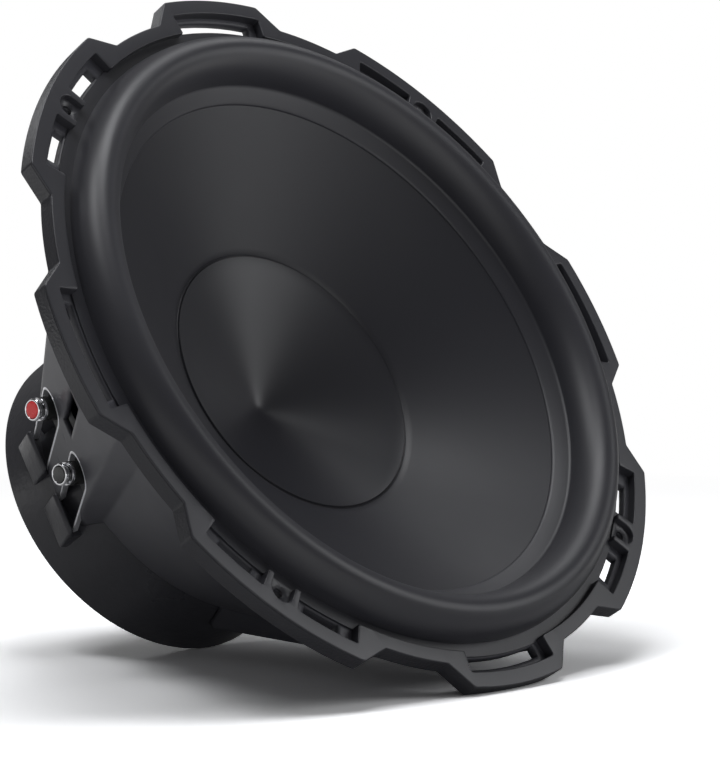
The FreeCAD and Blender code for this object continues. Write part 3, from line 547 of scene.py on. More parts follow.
@dataclass(frozen=True)
class PlatedMetal(Finish):
    """Bright plated metal with a faint haze from handling."""

    metallic: float = 1.0

    def dress(self, nodes: Surface) -> None:
        """Rubs roughen the plating a little, and a fine grain breaks the reflections.

        Args:
            nodes: The material's tree.
        """
        marks = HANDLING.place(nodes, Speck_Scale=600.0)
        grain = GRAIN.place(nodes, Grain_Scale=2500.0, Mottle_Scale=180.0)
        self.shade(nodes, grain.outputs["Mottle"], 0.08)
        self.roughen(nodes, marks.outputs["Rubs"], 0.10)
        self.emboss(nodes, grain.outputs["Height"], 0.000004)


@dataclass(frozen=True)
class WovenFinish(Finish):
    """Resin-treated cloth, braid or wire mesh."""

    thread_scale: float = 5000.0
    thread_depth: float = 0.0001

    def dress(self, nodes: Surface) -> None:
        """Threads set the height, and the low gaps between them get painted shade.

        Args:
            nodes: The material's tree.
        """
        weave = WEAVE.place(nodes, Thread_Scale=self.thread_scale)
        # painted shade: the colour falls to 0.45 of itself in the low gaps between threads
        painted_gap_shade = tuple(part * 0.45 for part in self.colour)
        nodes.link(nodes.mix(weave.outputs["Height"], painted_gap_shade, self.colour),
                   nodes.shader["Base Color"])
        self.emboss(nodes, weave.outputs["Height"], self.thread_depth)


@dataclass(frozen=True)
class WoundCopper(Finish):
    """Enamelled wire wound in close turns up the coil."""

    metallic: float = 1.0
    turn_pitch: float = 0.0005

    def dress(self, nodes: Surface) -> None:
        """Each turn is one bump along the axis, with painted shade in the grooves between turns.

        Args:
            nodes: The material's tree.
        """
        turns = nodes.math("MULTIPLY", nodes.axes()["Z"], math.pi / self.turn_pitch)
        wave = nodes.math("ABSOLUTE", nodes.math("SINE", turns))
        # painted shade: the colour falls to half in the low grooves between turns
        painted_gap_shade = tuple(part * 0.5 for part in self.colour)
        nodes.link(nodes.mix(wave, painted_gap_shade, self.colour), nodes.shader["Base Color"])
        self.emboss(nodes, wave, self.turn_pitch / 2)


RING_FACE = MouldedFinish("Ring face plastic", (0.033, 0.033, 0.039), 0.38, specular=0.55,
                          grain_scale=1100.0, grain_depth=0.00002)
RING_SIDE = PebbledFinish("Ring side plastic", (0.031, 0.031, 0.036), 0.36, specular=0.6)
BASKET_PAINT = MouldedFinish("Basket powder coat", (0.062, 0.062, 0.073), 0.44, specular=0.45,
                             grain_scale=1500.0, grain_depth=0.00002, edge_round=3.5 * MM)
CUT_EDGE = PlatedMetal("Bare cut edge", (0.80, 0.80, 0.83), 0.32, metallic=0.65)
BOOT_RUBBER = MouldedFinish("Boot rubber", (0.038, 0.038, 0.044), 0.32, specular=0.5,
                            grain_scale=260.0, grain_depth=0.00022, rough_spread=0.10)
SURROUND_FOAM = MouldedFinish("Surround skin", (0.030, 0.030, 0.036), 0.42, specular=0.5,
                              grain_scale=1600.0, grain_depth=0.00002, sheen=0.05)
CONE_SKIN = PressedFinish("Cone skin", (0.021, 0.021, 0.026), 0.44, specular=0.48)
CAP_SKIN = PressedFinish("Dust cap skin", (0.019, 0.019, 0.0235), 0.38, specular=0.52,
                         ring_scale=900.0)
GAP_BLACK = MouldedFinish("Moulded black plastic", (0.010, 0.010, 0.010), 0.55)
BLOCK_BLACK = PebbledFinish("Terminal block plastic", (0.012, 0.012, 0.012), 0.5,
                            pebble_scale=1500.0, pebble_depth=0.00006)
CHROME = PlatedMetal("Bright plating", (0.82, 0.82, 0.84), 0.10)
RED_GLOSS = MouldedFinish("Red terminal insert", (0.90, 0.02, 0.02), 0.28, mottle=0.2,
                          grain_scale=2500.0, grain_depth=0.00004, coat=0.4)
BLACK_GLOSS = MouldedFinish("Black terminal insert", (0.018, 0.018, 0.018), 0.22, mottle=0.2,
                            grain_scale=2500.0, grain_depth=0.00003, coat=0.4)
YOKE_ZINC = TurnedMetal("Zinc plated steel", (0.52, 0.52, 0.50), 0.38)
FERRITE = TurnedMetal("Ground ferrite", (0.09, 0.09, 0.095), 0.62, metallic=0.2)
COPPER = TurnedMetal("Bare copper", (0.80, 0.42, 0.28), 0.28)
FORMER_METAL = TurnedMetal("Coil former sheet", (0.80, 0.80, 0.81), 0.30)
WIRE_COPPER = WoundCopper("Wound copper wire", (0.62, 0.27, 0.12), 0.35)
SCREW_BLACK = PlatedMetal("Blackened steel", (0.16, 0.16, 0.17), 0.38)
SPRING_STEEL = PlatedMetal("Spring steel", (0.30, 0.30, 0.30), 0.30)
TAB_BRASS = PlatedMetal("Tinned brass", (0.80, 0.72, 0.50), 0.32)
SPIDER_CLOTH = WovenFinish("Spider cloth", (0.55, 0.42, 0.20), 0.8)
LEAD_BRAID = WovenFinish("Braided lead", (0.74, 0.55, 0.38), 0.4, metallic=0.8,
                         thread_scale=9000.0, thread_depth=0.00008)
SCREEN_WIRE = WovenFinish("Vent screen wire", (0.35, 0.35, 0.36), 0.4, metallic=0.9,
                          thread_scale=4200.0)


# ---------------------------------------------------------------- mesh making
FILLET_SHARE = 0.45  # largest share of an edge that one fillet may take
TINY = 1e-9


def circle(radius: float, count: int) -> list[Point]:
    """Space points evenly round a circle.

    Args:
        radius: Its radius.
        count: How many points.

    Returns:
        The points, anticlockwise from the X axis.
    """
    angles = [2 * math.pi * step / count for step in range(count)]
    return [(radius * math.cos(angle), radius * math.sin(angle)) for angle in angles]


def rounded(points: list[Point], radius: float, steps: int = 4,
            closed: bool = True, least_turn: float = 15.0) -> list[Point]:
    """Round the corners of a flat outline.

    Args:
        points: Corners in order.
        radius: Fillet radius, made smaller where an edge is too short for it.
        steps: Straight pieces in each fillet.
        closed: Whether the last point joins the first.
        least_turn: Corners that turn less than this many degrees are left as they are.

    Returns:
        The rounded outline.
    """
    made: list[Point] = []
    count = len(points)
    for index, corner in enumerate(points):
        if not closed and index in (0, count - 1):
            made.append(corner)
            continue
        here = Vector(corner)
        back = Vector(points[index - 1]) - here
        ahead = Vector(points[(index + 1) % count]) - here
        if back.length < TINY or ahead.length < TINY:
            continue
        turn = math.pi - back.angle(ahead)
        if turn < math.radians(least_turn):
            made.append(corner)
            continue
        cut = min(radius * math.tan(turn / 2), FILLET_SHARE * back.length,
                  FILLET_SHARE * ahead.length)
        size = cut / math.tan(turn / 2)
        start = here + back.normalized() * cut
        end = here + ahead.normalized() * cut
        middle = here + (back.normalized() + ahead.normalized()).normalized() * (
            size / math.cos(turn / 2))
        for step in range(steps + 1):
            share = step / steps
            arm = (start - middle).lerp(end - middle, share)
            spot = middle + arm.normalized() * size
            made.append((spot.x, spot.y))
    return made


def shifted(points: list[Point], distance: float) -> list[Point]:
    """Move a closed outline sideways.

    Args:
        points: Outline that runs anticlockwise.
        distance: Positive to grow the outline, negative to shrink it.

    Returns:
        The moved outline, with as many points.
    """
    made = []
    count = len(points)
    for index, corner in enumerate(points):
        back = (Vector(corner) - Vector(points[index - 1])).normalized()
        ahead = (Vector(points[(index + 1) % count]) - Vector(corner)).normalized()
        side = Vector((back.y + ahead.y, -back.x - ahead.x))
        if side.length < 1e-6:
            side = Vector((back.y, -back.x))
        side.normalize()
        stretch = max(0.5, side.dot(Vector((back.y, -back.x))))
        made.append((corner[0] + side.x * distance / stretch,
                     corner[1] + side.y * distance / stretch))
    return made


class MeshMaker:
    """Builds one mesh object in a few plain steps."""

    def __init__(self, name: str) -> None:
        """Start an empty mesh with a name."""
        self.name = name
        self.mesh = bmesh.new()

    def loop(self, points: list[Vector]) -> Loop:
        """Add the vertices of a loop, with no edges yet."""
        return [self.mesh.verts.new(point) for point in points]

    def strip(self, first: Loop, second: Loop,
              material: int = 0, closed: bool = True) -> None:
        """Join two loops with faces.

        Args:
            first: One loop.
            second: The other, with as many vertices.
            material: Material number of the faces.
            closed: Whether the loops close on themselves.
        """
        count = len(first)
        for index in range(count if closed else count - 1):
            following = (index + 1) % count
            face = self.mesh.faces.new((first[index], first[following],
                                        second[following], second[index]))
            face.material_index = material

    def skin(self, loops: list[Loop], material: int = 0) -> None:
        """Join loops with faces, each to the next.

        Args:
            loops: The loops in order, all with as many vertices.
            material: Material number of the faces.
        """
        for first, second in zip(loops[:-1], loops[1:]):
            self.strip(first, second, material)

    def fill(self, *loops: Loop, material: int = 0) -> None:
        """Fill the flat space inside a loop, or between a loop and the ones inside it.

        Args:
            *loops: Closed loops that lie in one plane.
            material: Material number of the faces.
        """
        edges = []
        for loop in loops:
            for index, vertex in enumerate(loop):
                pair = (vertex, loop[(index + 1) % len(loop)])
                edges.append(self.mesh.edges.get(pair) or self.mesh.edges.new(pair))
        made = bmesh.ops.triangle_fill(self.mesh, use_beauty=True, use_dissolve=False,
                                       edges=edges)
        for item in made["geom"]:
            if isinstance(item, bmesh.types.BMFace):
                item.material_index = material

    def levels(self, outline: list[Point], steps: list[tuple[float, float]],
               material: int = 0) -> tuple[list, list]:
        """Stack an outline in several heights, moved sideways at each.

        Args:
            outline: Anticlockwise outline in metres.
            steps: (sideways distance, height) of each level, in metres.
            material: Material number of the walls.

        Returns:
            The first and the last loop.
        """
        loops = []
        for distance, height in steps:
            points = shifted(outline, distance) if distance else outline
            loops.append(self.loop([Vector((x, y, height)) for x, y in points]))
        self.skin(loops, material)
        return loops[0], loops[-1]

    def turn(self, profile: list[Point], segments: int = 192, closed: bool = True,
             axis: Matrix | None = None) -> None:
        """Turn a (radius, height) profile about Z.

        Args:
            profile: Points in metres.
            segments: Steps round the axis.
            closed: Whether the profile's ends join.
            axis: Where to put the result; None leaves it on the Z axis.
        """
        place = axis or Matrix.Identity(4)
        rings: list[Loop] = []
        for radius, height in profile:
            if radius < 1e-7:
                rings.append([self.mesh.verts.new(place @ Vector((0, 0, height)))])
                continue
            rings.append(self.loop([place @ Vector((x, y, height))
                                    for x, y in circle(radius, segments)]))
        pairs = list(zip(rings[:-1], rings[1:]))
        if closed:
            pairs.append((rings[-1], rings[0]))
        for first, second in pairs:
            if len(first) == 1 and len(second) == 1:
                continue
            if len(first) == 1 or len(second) == 1:
                tip, rim = (first[0], second) if len(first) == 1 else (second[0], first)
                for index in range(len(rim)):
                    self.mesh.faces.new((tip, rim[index], rim[(index + 1) % len(rim)]))
            else:
                self.strip(first, second)

    def tube(self, path: list[Vector], radius: float, sides: int = 12) -> None:
        """Sweep a round section along a path, with closed ends.

        Args:
            path: Points along the middle.
            radius: The tube's radius.
            sides: Sides of the section.
        """
        loops = []
        side = None
        for index, spot in enumerate(path):
            before = path[max(0, index - 1)]
            after = path[min(len(path) - 1, index + 1)]
            along = (after - before).normalized()
            if side is None:
                side = along.orthogonal()
            side = (side - along * side.dot(along)).normalized()
            other = along.cross(side)
            loops.append(self.loop([spot + (side * x + other * y) * radius
                                    for x, y in circle(1.0, sides)]))
        self.skin(loops)
        self.mesh.faces.new(loops[0])
        self.mesh.faces.new(loops[-1])

    def release(self) -> Piece:
        """Move the mesh into a new object in the scene.

        Returns:
            The object.
        """
        data = bpy.data.meshes.new(self.name)
        self.mesh.to_mesh(data)
        self.mesh.free()
        piece = bpy.data.objects.new(self.name, data)
        bpy.context.scene.collection.objects.link(piece)
        return piece

    def finish(self, *finishes: Finish, sharp: float = 32.0,
               bevel: float = 0.0) -> Piece:
        """Turn the work into an object.

        Args:
            *finishes: One finish for each material number.
            sharp: Edges that turn more than this many degrees stay sharp.
            bevel: Width of a bevel on sharp edges, in metres; 0 for none.

        Returns:
            The new object, in the scene.
        """
        bmesh.ops.recalc_face_normals(self.mesh, faces=self.mesh.faces)
        piece = self.release()
        for finish in finishes:
            piece.data.materials.append(finish.material())
        if bevel:
            rounding = piece.modifiers.new("Rounding", "BEVEL")
            rounding.width = bevel
            rounding.segments = 3
            rounding.limit_method = "ANGLE"
            rounding.angle_limit = math.radians(sharp)
            rounding.harden_normals = False
            bpy.context.view_layer.update()
            solid = piece.evaluated_get(bpy.context.evaluated_depsgraph_get())
            piece.data = bpy.data.meshes.new_from_object(solid)
            piece.modifiers.clear()
        smooth(piece.data, sharp)
        return piece


def smooth(data: bpy.types.Mesh, angle: float) -> None:
    """Shade a mesh smooth, apart from edges that turn more than an angle in degrees."""
    data.shade_smooth()
    data.set_sharp_from_angle(angle=math.radians(angle))


def radial_blend(piece: Piece, still: tuple[str, float],
                 moving: tuple[str, float]) -> None:
    """Bake a round piece's placement into its mesh and work out each vertex's share between its
    rim and its middle; the shares are not kept, so the piece does not flex.
        still: Body at the rim, and the radius where it starts.
        moving: Body in the middle, and the radius where it starts.
    """
    (rim_body, rim), (hub_body, hub) = still, moving
    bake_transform(piece)
    for vertex in piece.data.vertices:
        share = (rim - math.hypot(vertex.co.x, vertex.co.y)) / (rim - hub)
        share = min(1.0, max(0.0, share))


# ---------------------------------------------------------------- trim ring
class Lobe(enum.Enum):
    """The two kinds of lobe round the ring, with the angle of the first."""

    GRIP = 0.0
    SCREW = 45.0


@dataclass
class TrimRing:
    """Lobed ring at the front, with open notches and screw recesses."""

    lobe_radius: float = 200.7 * MM
    valley_radius: float = 188.8 * MM
    bore: float = 181.2 * MM
    notch_radius: float = 192.4 * MM
    back: float = 180.5 * MM
    floor: float = 184.8 * MM
    front: float = 190.0 * MM
    recess_floor: float = 187.0 * MM
    recess_half: float = 6.4 * MM
    recess_middle: float = 187.2 * MM
    skirt: float = 2.2 * MM
    edge: float = 0.7 * MM
    corner: float = 3.0 * MM
    hole: float = 2.6 * MM
    tips: dict[Lobe, float] = field(default_factory=lambda: {Lobe.GRIP: 9.84, Lobe.SCREW: 15.10})
    feet: dict[Lobe, float] = field(default_factory=lambda: {Lobe.GRIP: 13.92,
                                                             Lobe.SCREW: 19.05})
    grip_notch: float = 9.6
    screw_notch: float = 5.4
    screw_notch_middle: float = 8.5
    notch_corner: float = 1.1 * MM
    seam: float = 1.3 * MM
    groove: tuple[Point, ...] = ((0.0, 0.0), (-0.25, 0.1), (-0.25, 0.25), (-0.05, 0.35))
    countersink: float = 1.6 * MM

    @staticmethod
    def arc(radius: float, start: float, end: float, step: float = 0.75) -> list[Point]:
        """Points along an arc about the axis.

        Args:
            radius: Its radius.
            start: First angle in degrees.
            end: Last angle in degrees.
            step: Largest angle between points.

        Returns:
            The points, both ends included.
        """
        count = max(1, math.ceil(abs(end - start) / step))
        angles = [math.radians(start + (end - start) * i / count) for i in range(count + 1)]
        return [(radius * math.cos(a), radius * math.sin(a)) for a in angles]

    def outside(self) -> list[Point]:
        """Draw the outline of the eight lobes.

        Returns:
            The outline, anticlockwise.
        """
        points: list[Point] = []
        for quarter in range(4):
            for lobe in Lobe:
                middle = 90.0 * quarter + lobe.value
                other = Lobe.SCREW if lobe is Lobe.GRIP else Lobe.GRIP
                points += self.arc(self.lobe_radius, middle - self.tips[lobe],
                                   middle + self.tips[lobe])
                points += self.arc(self.valley_radius, middle + self.feet[lobe],
                                   middle + 45.0 - self.feet[other])
        return rounded(points, self.corner, 5)

    def recess(self, middle: float, reach: float) -> list[Point]:
        """Round-ended recess for a screw head.

        Args:
            middle: Angle of its centre line, in degrees.
            reach: Radius where its open end starts.

        Returns:
            Points from one side of the open end, round the head, to the other.
        """
        half = self.recess_half
        local = [(math.sqrt(reach * reach - half * half), -half)]
        for step in range(13):
            angle = -math.pi / 2 + math.pi * step / 12
            local.append((self.recess_middle + half * math.cos(angle), half * math.sin(angle)))
        local.append((local[0][0], half))
        turn = math.radians(middle)
        return [(x * math.cos(turn) - y * math.sin(turn), x * math.sin(turn) + y * math.cos(turn))
                for x, y in local]

    def inside(self) -> list[Point]:
        """Draw the outline of the bore with its notches and recesses.

        Returns:
            The outline, anticlockwise.
        """
        points: list[Point] = []
        lean = math.degrees(math.asin(self.recess_half / self.bore))
        for quarter in range(4):
            middle = 90.0 * quarter
            points += self.arc(self.notch_radius, middle - self.grip_notch,
                               middle + self.grip_notch)
            screw = middle + Lobe.SCREW.value
            near = screw - self.screw_notch_middle
            far = screw + self.screw_notch_middle
            half = self.screw_notch
            points += self.arc(self.bore, middle + self.grip_notch, near - half)
            points += self.arc(self.notch_radius, near - half, near + half)
            points += self.arc(self.bore, near + half, screw - lean)[:-1]
            points += self.recess(screw, self.bore)
            points += self.arc(self.bore, screw + lean, far - half)[1:]
            points += self.arc(self.notch_radius, far - half, far + half)
            points += self.arc(self.bore, far + half, middle + 90.0 - self.grip_notch)
        return rounded(points, self.notch_corner, 3)

    def build(self) -> Piece:
        """Make the ring and put it in place of its node.

        Returns:
            The ring.
        """
        maker = MeshMaker("trim_ring_shell")
        outside, inside, edge = self.outside(), self.inside(), self.edge
        seam = self.front - self.seam
        low, _ = maker.levels(outside, [(-self.skirt, self.floor), (-self.skirt, self.back),
                                        (-0.2 * MM, self.back)], 1)
        maker.levels(outside, [(-0.2 * MM, self.back), (0.0, self.back + 0.2 * MM),
                               (0.0, seam)], 1)
        groove = [(out * MM, seam + up * MM) for out, up in self.groove]
        _, face = maker.levels(outside, groove + [(-0.05 * MM, self.front - edge * 0.6),
                                                  (-0.25 * MM, self.front - edge * 0.2),
                                                  (-edge, self.front)])
        inner_low, inner_face = maker.levels(inside, [(0.0, self.floor),
                                                      (0.0, self.front - edge),
                                                      (0.15 * MM, self.front - edge * 0.35),
                                                      (edge * 0.8, self.front)])
        maker.fill(face, inner_face)
        maker.fill(low, inner_low)
        bmesh.ops.remove_doubles(maker.mesh, verts=maker.mesh.verts, dist=1e-6)
        for quarter in range(4):
            self.add_recess_floor(maker, 90.0 * quarter + Lobe.SCREW.value)
        ring = maker.finish(RING_FACE, RING_SIDE, sharp=50.0)
        keep = ring.modifiers.new("Flat faces", "WEIGHTED_NORMAL")
        keep.keep_sharp = True
        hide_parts("trim_ring")
        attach(ring, "frame")
        return ring

    def add_recess_floor(self, maker: MeshMaker, middle: float) -> None:
        """Floor of one screw recess, with its countersunk hole.

        Args:
            maker: The ring's mesh.
            middle: Angle of the recess, in degrees.
        """
        turn = math.radians(middle)
        place = (self.recess_middle * math.cos(turn), self.recess_middle * math.sin(turn))
        rim = self.recess(middle, self.bore + 0.3 * MM)
        rim_loop = maker.loop([Vector((x, y, self.recess_floor)) for x, y in rim])
        bore = [(self.hole + self.countersink, self.recess_floor),
                (self.hole, self.recess_floor - MM), (self.hole, self.floor)]
        loops = [maker.loop([Vector((place[0] + x, place[1] + y, height))
                             for x, y in circle(radius, 32)]) for radius, height in bore]
        maker.fill(rim_loop, loops[0])
        maker.skin(loops)


# ---------------------------------------------------------------- cone assembly
@dataclass
class Surround:
    """Half-roll surround with a lip on the cone and a lip on the flange."""

    lip_inner: float = 142.7 * MM
    roll_inner: float = 151.0 * MM
    roll_outer: float = 175.5 * MM
    rim: float = 182.6 * MM
    lip_height: float = 177.5 * MM
    seat: float = 184.8 * MM
    height: float = 18.7 * MM
    thick: float = 1.2 * MM
    slope: float = 0.617

    def roll(self, inner: Point, outer: Point, height: float) -> list[Point]:
        """Draw half a roll between two feet.

        Args:
            inner: (radius, height) of the foot on the cone's side.
            outer: (radius, height) of the foot on the flange's side.
            height: How far its crown stands over the line between the feet.

        Returns:
            (radius, height) points from the inner foot to the outer.
        """
        points = []
        for step in range(49):
            angle = math.pi * step / 48
            share = (1 - math.cos(angle)) / 2
            points.append((inner[0] + (outer[0] - inner[0]) * share,
                           inner[1] + (outer[1] - inner[1]) * share + height * math.sin(angle)))
        return points

    def build(self) -> Piece:
        """Make the surround in place of its node.

        Returns:
            The surround.
        """
        thick = self.thick
        foot = self.lip_height + self.slope * (self.roll_inner - self.lip_inner)
        front = self.roll((self.roll_inner, foot + thick), (self.roll_outer, self.seat + thick),
                          self.height)
        back = self.roll((self.roll_inner + thick, foot), (self.roll_outer - thick, self.seat),
                         self.height - thick)
        lip = [(self.lip_inner, self.lip_height + 0.02 * MM),
               (self.lip_inner, self.lip_height + 0.5 * thick),
               (self.lip_inner + 0.35 * MM, self.lip_height + thick),
               (self.lip_inner + 1.2 * MM, self.lip_height + thick + 0.7 * MM)]
        crease = [(self.roll_inner - 1.2 * MM, foot + thick - 0.7 * MM)]
        outer = [(self.roll_outer + 0.8 * MM, self.seat + thick), (self.rim, self.seat + thick),
                 (self.rim, self.seat)]
        maker = MeshMaker("surround_roll")
        maker.turn(lip + crease + front + outer + back[::-1], 288)
        piece = maker.finish(SURROUND_FOAM, sharp=60.0)
        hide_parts("surround")
        radial_blend(piece, ("frame", self.roll_outer), ("cone_assembly", self.roll_inner))
        return piece


@dataclass
class ConeAssembly:
    """Cone, dust cap and the parts glued to them."""

    neck: float = 33.2 * MM
    rim: float = 149.0 * MM
    rim_front: float = 181.387 * MM
    slope: float = 0.617
    thick: float = 2.2 * MM
    cap_radius: float = 74.8 * MM
    cap_apex: float = 105.7 * MM
    cap_thick: float = 1.0 * MM
    cap_tip: float = 5.0 * MM
    groove_gap: float = 0.5 * MM
    groove_wide: float = 0.7 * MM
    groove_deep: float = 0.25 * MM

    def front(self, radius: float) -> float:
        """Height of the cone's front face at a radius."""
        return self.rim_front - self.slope * (self.rim - radius)

    def build_cone(self) -> Piece:
        """Make the cone, with a fine groove just outside the cap.

        Returns:
            The cone.
        """
        groove = self.cap_radius + self.groove_gap
        start = groove + self.groove_wide
        face = [(self.neck, self.front(self.neck)), (groove, self.front(groove)),
                (groove + self.groove_wide / 2, self.front(groove) - self.groove_deep),
                (start, self.front(start))]
        for step in range(1, 25):
            radius = start + (self.rim - start) * step / 24
            face.append((radius, self.front(radius)))
        back = [(self.rim, self.rim_front - self.thick),
                (self.neck, self.front(self.neck) - self.thick)]
        maker = MeshMaker("cone_skin")
        maker.turn(face + back, 288)
        piece = maker.finish(CONE_SKIN, sharp=40.0)
        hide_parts("cone")
        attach(piece, "cone_assembly")
        return piece

    def build_cap(self) -> Piece:
        """Make the inverted dust cap, with a rolled rim and a soft middle.

        Returns:
            The cap.
        """
        edge = self.front(self.cap_radius)
        slope = (edge + self.cap_thick - self.cap_apex) / self.cap_radius
        reach = math.hypot(self.cap_radius, self.cap_tip)
        top: list[Point] = []
        for step in range(41):
            radius = self.cap_radius * (step / 40) ** 1.3
            lift = slope * (math.hypot(radius, self.cap_tip) - self.cap_tip)
            share = lift / (slope * (reach - self.cap_tip))
            top.append((radius, self.cap_apex + share * (edge + self.cap_thick - self.cap_apex)))
        top = top[:-1] + [(self.cap_radius - 0.5 * MM, edge + self.cap_thick - 0.05 * MM),
                          (self.cap_radius - 0.1 * MM, edge + 0.6 * self.cap_thick),
                          (self.cap_radius, edge + 0.02 * MM)]
        bottom = [(radius, height - self.cap_thick) for radius, height in reversed(top[:-3])]
        maker = MeshMaker("dust_cap_skin")
        maker.turn(top + bottom, 240, closed=False)
        piece = maker.finish(CAP_SKIN, sharp=50.0)
        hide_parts("dust_cap")
        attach(piece, "cone_assembly")
        return piece


@dataclass
class Spider:
    """Corrugated cloth spider between the former and the basket's shelf."""

    hub: float = 32.4 * MM
    neck: float = 35.0 * MM
    edge: float = 90.0 * MM
    outer: float = 102.0 * MM
    level: float = 80.0 * MM
    lift: float = 3.0 * MM
    wave: float = 2.6 * MM
    waves: int = 6
    thick: float = 0.8 * MM

    def build(self) -> Piece:
        """Make the spider in place of its node.

        Returns:
            The spider.
        """
        top: list[Point] = [(self.hub, self.level + self.lift + self.thick)]
        for step in range(145):
            share = step / 144
            height = self.level + self.lift * (1 - share)
            swing = self.wave * math.sin(2 * math.pi * self.waves * share)
            swing *= math.sin(math.pi * share) ** 0.5
            top.append((self.neck + (self.edge - self.neck) * share,
                        height + swing + self.thick))
        top.append((self.outer, self.level + self.thick))
        bottom = [(radius, height - self.thick) for radius, height in reversed(top)]
        maker = MeshMaker("spider_cloth")
        maker.turn(top + bottom, 144)
        piece = maker.finish(SPIDER_CLOTH, sharp=60.0)
        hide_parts("spider")
        radial_blend(piece, ("frame", self.edge), ("cone_assembly", self.neck))
        return piece


# ---------------------------------------------------------------- motor boot
@dataclass
class Boot:
    """Rubber boot over the magnets, with a sloped fin under each terminal window."""

    radius: float = 92.0 * MM
    top: float = 56.8 * MM
    opening: float = 30.0 * MM
    wall: float = 3.0 * MM
    bevel: float = 4.0 * MM
    fin_near: float = 6.5 * MM
    fin_far: float = 30.0 * MM
    fin_profile: tuple[Point, ...] = ((0.0840, 0.0205), (0.0920, 0.0215), (0.0986, 0.0388),
                                      (0.0974, 0.0412), (0.0933, 0.0358), (0.0840, 0.0358))

    def build(self) -> Piece:
        """Make the boot in place of its node.

        Returns:
            The boot.
        """
        inner = self.radius - self.wall
        outline = rounded([(self.radius - self.bevel, 0.0), (self.radius, self.bevel),
                           (self.radius, self.top), (inner, self.top), (inner, self.wall),
                           (self.opening, self.wall), (self.opening, 0.0)], 1.2 * MM, 5)
        maker = MeshMaker("motor_boot_skin")
        maker.turn(outline, 240)
        cup = maker.finish(BOOT_RUBBER, sharp=40.0)
        for turn in (0.0, math.pi):
            for side in (-1, 1):
                fin = self.build_fin(turn, side)
                fin.parent = cup
        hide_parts("motor_boot")
        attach(cup, "frame")
        return cup

    def build_fin(self, turn: float, side: int) -> Piece:
        """Make one fin.

        Args:
            turn: Angle of its spoke, in radians.
            side: -1 or 1, for the window that it stands under.

        Returns:
            The fin.
        """
        name = f"boot_fin_{'right' if turn == 0.0 else 'left'}_{'far' if side > 0 else 'near'}"
        maker = MeshMaker(name)
        spin = Matrix.Rotation(turn, 4, "Z")
        loops = []
        for y in (self.fin_near * side, self.fin_far * side):
            loops.append(maker.loop([spin @ Vector((x, y, z)) for x, z in self.fin_profile]))
        maker.strip(loops[0], loops[1])
        maker.mesh.faces.new(loops[0])
        maker.mesh.faces.new(loops[1])
        fin = maker.finish(BOOT_RUBBER, sharp=30.0, bevel=1.2 * MM)
        return fin


# ---------------------------------------------------------------- terminals
class Side(enum.Enum):
    """The two sides that carry terminals, with the sign of their X direction."""

    LEFT = -1
    RIGHT = 1


class Pole(enum.Enum):
    """The two poles, with the sign of Y on the right side."""

    POSITIVE = -1
    NEGATIVE = 1


TERMINAL_PITCH = 18.2 * MM  # from the spoke's middle line to each terminal
TERMINAL_HEIGHT = 89.5 * MM


